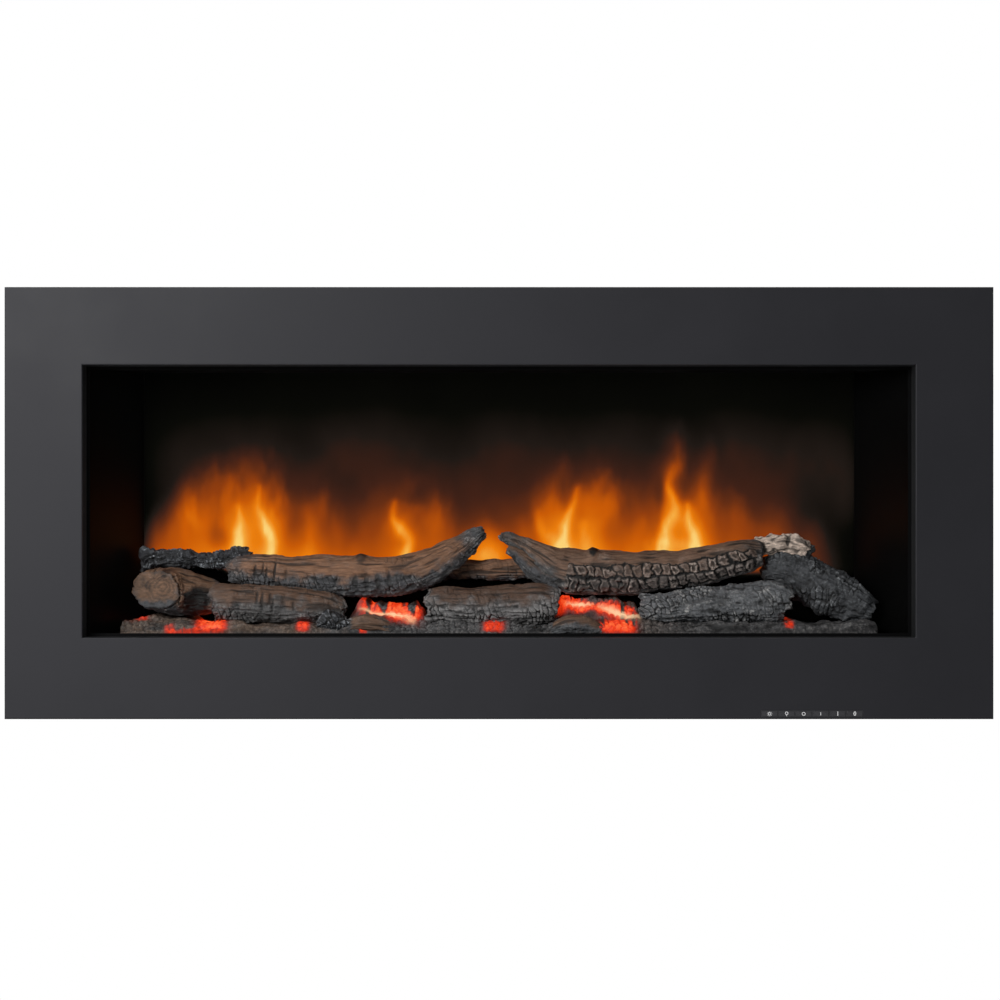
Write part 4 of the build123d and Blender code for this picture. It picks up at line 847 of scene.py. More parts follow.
# the window's returns, blackened by painted shade on the fascia's coat
SHADED_REVEAL = (Vector((PANE[0].x, REVEAL_START, PANE[0].z)), PANE[1])
SHADED_HEM = CAD_BOX[0].z + 1.6 * MM  # painted shade makes the fascia black below this, along its lower edge
FINISHES = {
    "fascia_coat": PowderCoat(srgb(40, 40, 44), 0.56, 0.07, 0.000025, 0.26, SHADED_REVEAL, SHADED_HEM),
    "casing_coat": PowderCoat(srgb(34, 34, 35), 0.62, 0.2),
    "firebox_gloss": Enamel(srgb(2, 2, 2)),
    "firebox_matt": PowderCoat(srgb(9, 9, 10), 0.85, 0.3, gloss=0.1),
    "grille_coat": PowderCoat(srgb(36, 36, 38), 0.5, 0.15),
    "black_screw": Sheet(srgb(52, 52, 54), 0.42, dull=0.3),
    "zinc_steel": Sheet(srgb(178, 178, 172), 0.34),
    "galvanised": Galvanised(),
    "bright_steel": Sheet(srgb(198, 200, 204), 0.22),
    "motor_iron": MotorCore(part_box("blower_motor")[0].z + 5 * MM),
    "wheel_aluminium": Sheet(srgb(170, 173, 178), 0.4),
    "heater_fins": Sheet(srgb(192, 194, 198), 0.3, (900.0, 900.0, 60.0)),
    "mirror_sheet": Foil(0.00005, 0.06),
    "blade_foil": Foil(),
    "clear_glass": ClearGlass(),
    "lens_frosted": Frosted(),
    "led_strip": CircuitBoard("Z", FAR, True, srgb(214, 214, 208), srgb(190, 188, 180), srgb(226, 198, 96)),
    "bezel_grey": Moulded(srgb(50, 50, 53), 0.5),
    "key_grey": Moulded(srgb(56, 56, 59), 0.5),
    "black_plastic": Moulded(srgb(28, 28, 29), 0.5),
    "rocker_gloss": Moulded(srgb(24, 24, 25), 0.22, 300.0, 0.00001),
    "white_nylon": Moulded(srgb(206, 203, 192), 0.42),
    "brown_phenolic": Moulded(srgb(78, 44, 28), 0.36),
    "wire_sheath": Wires(),
    "seal_rubber": Moulded(srgb(26, 26, 27), 0.75, 700.0, 0.00006),
}
BOARDS = {  # each with the height from which its components rise
    "power_board": CircuitBoard("Z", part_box("power_board")[0].z + 10.5 * MM, True),
    "control_board": CircuitBoard("Y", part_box("control_board")[0].y + 3.5 * MM, False),
}
MARK_INK = PrintedMark(grey(245))


class Wardrobe:
    """Gives each CAD node the finish of its record slot where this script has one, and the circuit boards
    their own.
    """

    def __init__(self, record: dict) -> None:
        """Reads which slot each node takes."""
        self.slots = {part["node"]: part["material_slot"] for part in record["subparts"]}
        self.made: dict[str, Material] = {}

    def finish(self, slot: str) -> Material:
        """The material of a slot, made once."""
        if slot not in self.made:
            self.made[slot] = FINISHES[slot].material(slot)
        return self.made[slot]

    def dress(self, nodes: dict[str, bpy.types.Object]) -> None:
        """Assigns the finishes to the CAD nodes."""
        for node, piece in nodes.items():
            slot = self.slots[node]
            if node in BOARDS:
                finish = BOARDS[node].material(node + "_finish")
            elif slot in FINISHES:
                finish = self.finish(slot)
            else:
                continue
            if not piece.material_slots:
                piece.data.materials.append(finish)
            for holder in piece.material_slots:
                holder.material = finish
            LOG.info("%s: finish %s", node, slot)


# ---- logs
HAIR = 0.0006  # relief of the finest fibres
FEWEST_RINGS = 6


class Burn(Enum):
    """How a log is burnt."""

    LOWER = "char on the lower half, checked across the grain"
    BLOCKS = "two rows of char blocks on the front"
    ALL = "charcoal all over"
    ENDS = "wood with darkened ends"
    BARE = "pale dry wood"


@dataclass(frozen=True)
class Station:
    """One oval on a log's run, measured from its CAD node's box."""

    along: float  # share of the box's length from its left end
    lift: float  # above the middle of the box
    girth: float  # radius
    ahead: float = 0.0  # towards the glass from the middle of the box


@dataclass(frozen=True)
class Knot:
    """A small swelling, or a hollow if its rise is negative. Its darkening draws black cracks, and painted
    shade in deeper pockets.
    """

    along: float  # share of the log's length
    height: float  # from -1 at the underside to 1 at the top, on the front
    size: float
    rise: float
    # darkening of the hollow: black in the cracks, painted shade in the deeper pockets
    dark: float = 0.0
    slim: float = 1.0  # less than one makes an upright split, more than one a line along the grain


@dataclass
class Skin:
    """The surface of one log while it is carved, one row or number for each point."""

    surface: np.ndarray
    wrap: np.ndarray  # distance along the log and round it
    height: np.ndarray  # from -1 at the underside to 1 at the top
    front: np.ndarray  # from -1 at the back to 1 at the front
    share: np.ndarray  # from 0 at the left end to 1 at the right
    reach: np.ndarray  # 1 on the side, less on the ends
    girth: np.ndarray
    relief: np.ndarray
    char: np.ndarray
    # dark cracks, and painted shade in hollows, pits and gaps
    crack: np.ndarray
    # pale ashes, and painted highlight on crests and rims
    ash: np.ndarray

    def rough(self, size: float | tuple, seed: int, octaves: int) -> np.ndarray:
        """Layered noise on the surface."""
        return Field.rough(self.surface, size, seed, octaves)

    def darken(self, values: np.ndarray) -> None:
        """Adds to the dark marks of cracks and painted shade, which are as dark as the darker of the two."""
        self.crack = np.maximum(self.crack, values)

    def whiten(self, values: np.ndarray) -> None:
        """Adds to the pale marks of ashes and painted highlight in the same way."""
        self.ash = np.maximum(self.ash, values)

    def marks(self) -> dict[str, np.ndarray]:
        """What the finish reads."""
        return {"char": self.char, "crack": self.crack, "ash": self.ash}


@dataclass
class Timber:
    """A burnt log, wrapped round a smooth run through a few stations."""

    name: str
    node: str
    stations: tuple[Station, ...]
    burn: Burn
    finish: Bark
    seed: int
    stands_for: bool = True  # whether it takes the place of its CAD node
    char_line: float = 0.0  # height up to which it is charred, from -1 to 1
    char_spread: float = 0.3
    fibre: float = 0.0011  # relief of the fibres, the lumps and the pits
    lump: float = 0.0026
    pit: float = 0.0014
    jagged: float = 0.006  # how far the torn ends reach
    frayed: float = 0.5  # pale ashes on the torn ends
    flat: float = 0.92  # depth of the section against its height
    hollow_right: float = 0.0  # depth of the hollow in the right end
    sawn_left: bool = False
    knots: tuple[Knot, ...] = ()
    around: int = 20  # sides and pitch of the mesh that is then made finer
    cell: float = 0.0075

    def run(self) -> np.ndarray:
        """The stations as rows of x, y, z and girth."""
        low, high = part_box(self.node)
        middle = (low + high) / 2
        rows = []
        for s in self.stations:
            x = low.x + s.along * (high.x - low.x)
            rows.append((x, middle.y - s.ahead, middle.z + s.lift, s.girth))
        return np.array(rows)

    def build(self) -> Bench:
        """Wraps the roll round the run and carves the surface."""
        run = self.run()
        length = float(np.sum(np.linalg.norm(np.diff(run[:, :3], axis=0), axis=1)))
        rings = max(FEWEST_RINGS, round(length / self.cell))
        bench = rolled(self.name, self.around, rings, (0.12, 0.22, 0.24))
        points = bench.points()
        share = np.clip((points[:, 0] + 1) / 2, 0, 1)
        reach = np.clip(np.hypot(points[:, 1], points[:, 2]), 0, 1)
        angle = np.arctan2(points[:, 2], -points[:, 1])
        centre = smooth_path(run, share)
        step = 0.01
        tangent = (smooth_path(run, share + step) - smooth_path(run, share - step))[:, :3]
        tangent /= np.linalg.norm(tangent, axis=1)[:, None]
        up = np.array([0.0, 0.0, 1.0]) - tangent * tangent[:, 2:3]
        up /= np.linalg.norm(up, axis=1)[:, None]
        front = np.cross(tangent, up)
        girth = centre[:, 3]
        outward = np.cos(angle)[:, None] * front * self.flat + np.sin(angle)[:, None] * up
        surface = centre[:, :3] + outward * (reach * girth)[:, None]
        wrap = np.stack([share * length, angle * float(np.mean(girth))], axis=1)
        blank = np.zeros_like(share)
        skin = Skin(
            surface, wrap, np.sin(angle), np.cos(angle), share, reach, girth, blank, blank, blank, blank
        )
        self.carve(skin)
        surface = surface + outward * (skin.relief * ease(0.0, 0.9, reach))[:, None]
        side = np.sign(points[:, 0])
        torn = Field.rough(surface, 0.011, self.seed + 40, 4)
        torn += 0.6 * Field.rough(surface, (0.05, 0.006, 0.006), self.seed + 47, 3)
        rough_end = np.where(self.sawn_left & (side < 0), 0.12, 1.0)
        depth = self.jagged * rough_end * torn * ease(0.90, 1.0, np.abs(2 * share - 1))
        surface += tangent * (depth * side)[:, None]
        sunk = self.hollow_right * ease(0.93, 0.45, reach) * (side > 0)
        surface -= tangent * sunk[:, None]
        bench.move(surface)
        for name, values in skin.marks().items():
            bench.mark(name, np.clip(values, 0, 1))
        bench.mesh.shade_smooth()
        return bench

    def carve(self, skin: Skin) -> None:
        """Works out the relief of the skin and its marks, by how the log is burnt."""
        seed = self.seed
        strands = Field.ridges(skin.wrap, (0.045, 0.0045), seed + 5)
        hairs = Field.rough(skin.wrap, (0.016, 0.0015), seed + 9, 3)
        skin.relief = self.lump * skin.rough(0.032, seed, 3)
        skin.relief = skin.relief + self.fibre * 1.6 * (strands - 0.65) + HAIR * hairs
        edge = skin.rough(0.016, seed + 13, 4)
        burnt = ease(self.char_spread, -self.char_spread, skin.height - self.char_line + 0.5 * edge)
        tips = ease(0.80, 1.0, np.abs(2 * skin.share - 1) + 0.12 * edge)
        if self.burn is Burn.ALL:
            skin.char = np.ones_like(burnt)
        elif self.burn is Burn.BARE:
            skin.char = 0.3 * tips
        elif self.sawn_left:
            skin.char = np.maximum(burnt, tips * (skin.share > 0.5))
        else:
            skin.char = np.maximum(burnt, tips)
        # dark grooves between the fibre strands: grain, and painted shade where they sink
        skin.crack = 0.75 * ease(0.58, 0.22, strands) * (1 - 0.4 * skin.char)
        skin.ash = 0.22 * ease(0.1, 0.8, edge)
        self.pock(skin, edge)
        frayed = ease(0.93, 0.99, np.abs(2 * skin.share - 1)) * (skin.reach > 0.97)
        skin.whiten(self.frayed * frayed * ease(-0.2, 0.4, edge))
        if self.burn in (Burn.LOWER, Burn.ALL):
            self.check(skin)
        if self.burn is Burn.BLOCKS:
            for row in CHAR_ROWS:
                row.cut(skin, seed)
        if self.sawn_left:
            self.saw(skin)
        for knot in self.knots:
            self.swell(skin, knot)

    def pock(self, skin: Skin, edge: np.ndarray) -> None:
        """Roughens the charred parts: painted shade in the pitted hollows, and pale crests that are partly
        ashes and partly painted highlight.
        """
        pits = skin.rough((0.010, 0.006, 0.006), self.seed + 17, 4)
        weathered = np.ones_like(pits) if self.burn is Burn.BARE else skin.char
        skin.relief = skin.relief + weathered * self.pit * pits
        # painted shade: darker where the pits sink
        skin.darken(weathered * 0.85 * ease(-0.15, -0.75, pits))
        # pale crests: ashes and painted highlight where the pits rise
        crests = skin.char * ease(0.20, 0.75, pits) * (0.35 + 0.65 * ease(-0.3, 0.5, edge))
        skin.ash = np.maximum(skin.ash * (1 - skin.char), crests)

    def check(self, skin: Skin) -> None:
        """Cuts short cracks across the grain, in patches, with a slight slant, darkened inside as char and
        painted shade, with rims paled as ashes and painted highlight.
        """
        seed = self.seed
        bend = 0.0022 * skin.rough(0.012, seed + 23, 3)
        slanted = np.stack([skin.wrap[:, 0] + 0.35 * skin.wrap[:, 1] + bend, skin.wrap[:, 1] + bend], axis=1)
        wall, own = Field.cells(slanted, (0.0065, 0.0150), seed + 21)
        patch = ease(-0.05, 0.45, skin.rough((0.05, 0.03, 0.03), seed + 27, 2))
        reach = skin.char * (0.25 + 0.75 * patch) + 0.5 * patch * (1 - skin.char) * (own > 0.5)
        skin.relief = skin.relief + reach * 0.0021 * (ease(0.02, 0.24, wall) * (0.65 + 0.6 * own) - 0.7)
        # dark inside the cracks: char and painted shade
        skin.darken(reach * ease(0.22, 0.05, wall))
        # pale rims along the cracks: ashes and painted highlight
        rim = ease(0.12, 0.22, wall) * ease(0.50, 0.28, wall)
        skin.whiten(skin.char * rim * own * (0.3 + 0.5 * patch))

    def saw(self, skin: Skin) -> None:
        """Shows growth rings about an off-centre pith on the sawn left end, darkens its rim, and paints
        shade on the back half of the face.
        """
        face = (skin.share < 0.02) & (skin.reach < 0.97)
        wobble = 0.12 * skin.rough(0.015, self.seed + 51, 3)
        pith = np.hypot(skin.front * skin.reach - 0.22, skin.height * skin.reach - 0.12) + wobble
        rings = 0.5 + 0.5 * np.sin(2 * math.pi * pith * 6.0)
        grain = skin.rough(0.006, self.seed + 53, 4)
        blotch = ease(-0.1, 0.7, skin.rough(0.014, self.seed + 57, 3))
        skin.relief = np.where(face, skin.relief + 0.0008 * rings + 0.0008 * grain, skin.relief)
        burnt = ease(-0.34, -0.62, skin.height * skin.reach + 0.12 * grain)
        rim = 0.5 * ease(0.84, 1.0, skin.reach + 0.16 * grain)
        skin.char = np.where(face, np.maximum(burnt, rim), skin.char)
        # painted shade on the back half of the sawn face
        side = 0.40 * ease(-0.35, -0.95, skin.front * skin.reach)
        marks = 0.45 * rings * ease(1.0, 0.5, pith) + 0.55 * blotch
        skin.crack = np.where(face, np.maximum(marks, side), skin.crack)
        skin.ash = np.where(face, 0.2 * ease(0.2, 0.9, grain), skin.ash)

    def swell(self, skin: Skin, knot: Knot) -> None:
        """Raises or sinks a knot, and darkens it as black cracks and painted shade."""
        bent = 0.35 * skin.rough(0.01, self.seed + 61, 3) * min(knot.slim, 1.0)
        apart = ((skin.share - knot.along) * (skin.wrap[:, 0].max() / knot.size) + bent) / knot.slim
        aside = (skin.height - knot.height) * skin.girth / knot.size
        spot = bell(apart) * bell(aside) * (skin.front > -0.3)
        skin.relief = skin.relief + knot.rise * spot
        skin.darken(knot.dark * ease(0.25, 0.6, spot))

    def place(self) -> None:
        """Builds the log and files it with the frame."""
        bench = self.build()
        nodes = (self.node,) if self.stands_for else ()
        bench.place("casing", "log_bark", self.finish.material(self.name + "_bark"), *nodes)


@dataclass(frozen=True)
class CharRow:
    """A row of rounded char blocks along the front of a log, with painted shade in the gaps between them and
    pale rims that are ashes and painted highlight.
    """

    low: float  # heights on the log, from -1 to 1
    high: float
    shift: float
    char: float
    pitch: float = 0.0122
    start: float = 0.25
    rise: float = 0.0030

    def cut(self, skin: Skin, seed: int) -> None:
        """Cuts the row into a log's skin."""
        wobble = skin.rough(0.012, seed + 31, 3)
        fine = skin.rough(0.0036, seed + 35, 4)
        v = (skin.height + 0.15 * wobble - self.low) / (self.high - self.low)
        u = skin.wrap[:, 0] / self.pitch + self.shift + 0.34 * wobble + 0.3 * (v - 0.5)
        cell = np.floor(u)
        tagged = np.stack([cell, np.full_like(cell, self.shift * 10)], axis=1)
        own = Field.hashed(tagged, seed + 33)
        split = (Field.hashed(tagged, seed + 37) > 0.62) * ease(0.10, 0.03, np.abs(v - 0.35 - 0.3 * own))
        from_side = np.maximum(0.5 - np.abs(u - cell - 0.5), 0.001)
        from_ends = np.maximum(0.5 - np.abs(v - 0.5), 0.001) * (self.high - self.low) * 1.9
        corner = (from_side**-3 + from_ends**-3) ** (-1 / 3) + 0.045 * fine
        on = (np.abs(v - 0.5) < 0.53) & (skin.front > -0.2)
        on = on * ease(self.start, self.start + 0.03, skin.share) * ease(0.985, 0.95, skin.share)
        dome = ease(0.02, 0.22, corner) - 0.45 * ease(0.24, 0.44, corner)
        skin.relief = skin.relief + on * (self.rise * dome * (0.6 + 0.7 * own) + HAIR * fine - 0.0015)
        # painted shade in the gaps between the blocks
        gap = ease(0.15, 0.06, corner)
        core = ease(0.22, 0.36, corner) * (0.35 + 0.5 * own)
        # pale rims round the blocks: ashes and painted highlight
        rim = ease(0.07, 0.14, corner) * ease(0.34, 0.22, corner) * np.clip(0.9 + 1.1 * fine, 0, 1)
        cut = on > 0.3
        skin.crack = np.where(cut, np.maximum(np.maximum(gap, core), 0.8 * split), skin.crack)
        pale = (1.15 - 0.6 * self.char) * (0.25 + 0.75 * own) * np.clip(0.9 + 0.5 * wobble, 0.3, 1.3)
        skin.ash = np.where(cut, np.maximum(rim, 0.10) * pale, skin.ash)
        skin.char = np.where(cut, self.char, skin.char)


CHAR_ROWS = each(CharRow, (-0.22, 0.40, 0.0, 0.35), (-0.88, -0.24, 0.42, 0.75))
BROWN = srgb(120, 86, 64)
UMBER = srgb(102, 77, 61)
COAL = srgb(70, 70, 73)
BLUE_COAL = srgb(90, 91, 94)
BLACK_COAL = srgb(42, 43, 47)


def timbers() -> list[Timber]:
    """The moulded logs and charcoal lumps of the set, back row first."""
    return [
        Timber(
            "left_back_timber", "left_back_log",
            each(
                Station, (-0.01, -0.012, 0.0022, 0.004), (0.08, -0.006, 0.0060, 0.003),
                (0.13, 0.001, 0.0115, 0.003), (0.24, 0.003, 0.014), (0.50, 0.001, 0.0135),
                (0.78, 0.001, 0.0115), (0.98, 0.002, 0.0115), (1.13, 0.003, 0.0120), (1.27, 0.005, 0.009),
            ),
            Burn.ALL, Bark(BLACK_COAL, srgb(32, 32, 36), srgb(214, 220, 228), 1.5), seed=3, jagged=0.010,
            lump=0.0060, pit=0.0040,
            knots=each(
                Knot, (0.10, 0.9, 0.007, 0.007), (0.45, 0.9, 0.009, 0.005), (0.62, 1.0, 0.007, -0.006),
            ),
        ),
        Timber(
            "centre_back_timber", "centre_back_log",
            each(
                Station, (0.0, 0.000, 0.012), (0.35, 0.001, 0.013), (0.70, 0.001, 0.013),
                (1.0, -0.003, 0.012),
            ),
            Burn.LOWER, Bark(BROWN, COAL), seed=11, char_line=-0.6,
        ),
        Timber(
            "left_end_timber", "left_end_log",
            each(
                Station, (0.260, 0.003, 0.0255, 0.021), (0.295, 0.003, 0.0280, 0.011),
                (0.43, 0.001, 0.0295, -0.002), (0.73, -0.002, 0.0280, -0.010),
                (1.08, -0.005, 0.0220, -0.015),
            ),
            Burn.ENDS, Bark(srgb(104, 77, 58), COAL), seed=23, char_line=-0.55, jagged=0.006, lump=0.0038,
            sawn_left=True, flat=1.2,
            # the first knot's darkening is a painted shadow, low on the log's right part
            knots=each(Knot, (0.72, -0.3, 0.022, -0.006, 1.0), (0.80, 0.1, 0.012, -0.002, 0.8)), around=24,
        ),
        Timber(
            "left_low_timber", "left_low_log",
            each(
                Station, (0.00, -0.001, 0.020), (0.11, 0.001, 0.023), (0.54, -0.001, 0.0235),
                (0.85, -0.003, 0.022), (1.07, -0.007, 0.017), (1.16, -0.011, 0.010),
            ),
            Burn.LOWER, Bark(srgb(90, 66, 51), srgb(88, 86, 86)), seed=31, char_line=0.05,
            knots=each(
                Knot, (0.16, 0.1, 0.006, 0.003), (0.34, 0.34, 0.008, -0.002, 0.75, 0.22),
                (0.375, 0.10, 0.012, -0.002, 0.8, 0.16), (0.43, 0.30, 0.007, -0.0015, 0.7, 0.34),
                (0.455, -0.05, 0.010, -0.002, 0.8, 0.18), (0.53, 0.16, 0.009, -0.0015, 0.6, 0.26),
                (0.60, -0.08, 0.007, -0.0015, 0.6, 0.30), (0.40, 0.02, 0.0020, -0.001, 0.6, 7.0),
                (0.50, 0.26, 0.0018, -0.001, 0.5, 8.0),
            ),
        ),
        Timber(
            "centre_low_timber", "centre_low_log",
            each(
                Station, (0.0, -0.003, 0.019), (0.12, -0.002, 0.0225), (0.42, -0.003, 0.0235),
                (0.70, -0.001, 0.0245), (0.90, -0.001, 0.0245), (1.0, -0.003, 0.020),
            ),
            Burn.LOWER, Bark(srgb(84, 62, 49), srgb(124, 121, 121)), seed=43, char_line=0.20, fibre=0.0014,
        ),
        Timber(
            "right_low_timber", "right_low_log",
            each(
                Station, (0.0, -0.004, 0.016), (0.15, -0.006, 0.018), (0.33, -0.004, 0.0205),
                (0.54, -0.002, 0.0230), (0.75, 0.000, 0.0250), (0.92, 0.002, 0.0260), (1.00, -0.001, 0.022),
            ),
            Burn.ALL, Bark(COAL, srgb(96, 97, 100), srgb(204, 200, 197), 1.3), seed=53, jagged=0.008,
            hollow_right=0.012, frayed=1.0, pit=0.0020,
        ),
        Timber(
            "right_end_timber", "right_end_log",
            each(
                Station, (-0.02, 0.012, 0.013), (0.18, 0.009, 0.021), (0.38, -0.003, 0.0275, 0.002),
                (0.60, -0.016, 0.0290, 0.006), (0.80, -0.030, 0.0220, 0.012), (0.96, -0.040, 0.0100, 0.017),
            ),
            Burn.ALL, Bark(COAL, srgb(61, 62, 65), srgb(150, 152, 155), 1.3), seed=61, lump=0.0055,
            pit=0.0022, jagged=0.005,
        ),
        Timber(
            "right_stump", "right_end_log",
            each(
                Station, (-0.11, 0.041, 0.008), (0.02, 0.043, 0.0130), (0.18, 0.044, 0.0155),
                (0.30, 0.041, 0.0140), (0.39, 0.035, 0.008),
            ),
            Burn.BARE, Bark(srgb(198, 178, 164), srgb(120, 104, 94), contrast=1.3), seed=71,
            stands_for=False, fibre=0.0018, pit=0.0034, jagged=0.005, lump=0.0070,
            knots=each(Knot, (0.60, 0.2, 0.010, -0.004, 0.9, 0.3), (0.15, -0.2, 0.010, -0.003, 0.9, 0.5)),
            around=16,
        ),
        Timber(
            "right_stump_block", "right_end_log",
            each(
                Station, (0.26, 0.035, 0.010, -0.004), (0.34, 0.036, 0.011, -0.004),
                (0.42, 0.033, 0.010, -0.004),
            ),
            Burn.ALL, Bark(COAL, srgb(84, 86, 88)), seed=77, stands_for=False, around=12,
        ),
        Timber(
            "left_top_timber", "left_top_log",
            each(
                Station, (-0.01, -0.016, 0.011), (0.04, -0.014, 0.0175), (0.12, -0.016, 0.0205),
                (0.27, -0.020, 0.0235), (0.47, -0.022, 0.0250), (0.67, -0.021, 0.0245),
                (0.79, -0.013, 0.0230), (0.88, 0.001, 0.0200), (0.95, 0.014, 0.0145), (1.00, 0.027, 0.0095),
                (1.03, 0.033, 0.0050),
            ),
            Burn.LOWER, Bark(BROWN, COAL), seed=83, char_line=-0.15, jagged=0.005,
            knots=each(
                Knot, (0.52, 0.92, 0.008, 0.004, 0.7), (0.112, 0.00, 0.009, -0.002, 0.8, 0.18),
                (0.140, 0.22, 0.008, -0.002, 0.7, 0.20), (0.158, -0.08, 0.010, -0.002, 0.8, 0.18),
                (0.192, 0.12, 0.014, -0.002, 0.9, 0.12), (0.235, -0.05, 0.008, -0.0015, 0.6, 0.24),
                (0.150, 0.08, 0.0020, -0.001, 0.7, 9.0), (0.215, -0.02, 0.0018, -0.001, 0.6, 7.0),
                (0.50, -0.35, 0.012, -0.002, 0.7, 0.30), (0.54, -0.25, 0.014, -0.002, 0.7, 0.26),
                (0.585, -0.30, 0.013, -0.002, 0.7, 0.28), (0.63, -0.22, 0.013, -0.002, 0.7, 0.26),
            ),
        ),
        Timber(
            "right_top_timber", "right_top_log",
            each(
                Station, (-0.015, 0.031, 0.004, 0.002), (0.02, 0.028, 0.007, 0.002), (0.08, 0.019, 0.011),
                (0.145, 0.006, 0.0175), (0.21, -0.008, 0.0250), (0.32, -0.014, 0.0270),
                (0.46, -0.015, 0.0270), (0.62, -0.012, 0.0255), (0.75, -0.007, 0.0240),
                (0.87, 0.001, 0.0230), (0.96, 0.007, 0.0215), (1.01, 0.009, 0.0145),
            ),
            Burn.BLOCKS, Bark(srgb(110, 84, 68), srgb(82, 80, 80), srgb(212, 196, 186)), seed=97,
            char_line=-0.30, jagged=0.004, knots=each(Knot, (0.355, 0.95, 0.007, 0.004, 1.0)),
        ),
        Timber(
            "right_top_prong", "right_top_log",
            each(
                Station, (0.01, 0.016, 0.005, 0.006), (0.045, 0.011, 0.007, 0.006),
                (0.09, 0.000, 0.0105, 0.005), (0.145, -0.013, 0.0140, 0.003), (0.21, -0.021, 0.0170),
            ),
            Burn.LOWER, Bark(UMBER, COAL), seed=103, stands_for=False, around=14,
        ),
        Timber(
            "left_splinter", "left_low_log",
            each(
                Station, (1.20, -0.026, 0.007, 0.018), (1.36, -0.025, 0.011, 0.017),
                (1.55, -0.029, 0.009, 0.016), (1.70, -0.034, 0.005, 0.016),
            ),
            Burn.ENDS, Bark(UMBER, COAL), seed=107, stands_for=False, char_line=-0.9, fibre=0.0016,
            around=12,
        ),
        Timber(
            "left_charcoal", "left_low_log",
            each(
                Station, (0.94, -0.028, 0.006, 0.019), (1.05, -0.022, 0.011, 0.019),
                (1.18, -0.024, 0.008, 0.019),
            ),
            Burn.ALL, Bark(COAL, BLACK_COAL, srgb(190, 192, 198)), seed=109, stands_for=False, lump=0.004,
            around=12,
        ),
        Timber(
            "middle_splinter", "centre_low_log",
            each(
                Station, (0.97, -0.032, 0.006, 0.018), (1.08, -0.027, 0.011, 0.017),
                (1.24, -0.027, 0.011, 0.017), (1.36, -0.033, 0.005, 0.018),
            ),
            Burn.LOWER, Bark(UMBER, BLUE_COAL), seed=113, stands_for=False, char_line=0.2, around=12,
        ),
    ]


# ---- ember bed
@dataclass(frozen=True)
class Patch:
    """A soft patch seen from the front: a glow on the bed, or a dim eye in the flames."""

    x: float
    z: float
    width: float
    height: float
    strength: float


@dataclass(frozen=True)
class Streak:
    """A bright line where the bed is thin."""

    start: tuple[float, float]
    end: tuple[float, float]
    width: float


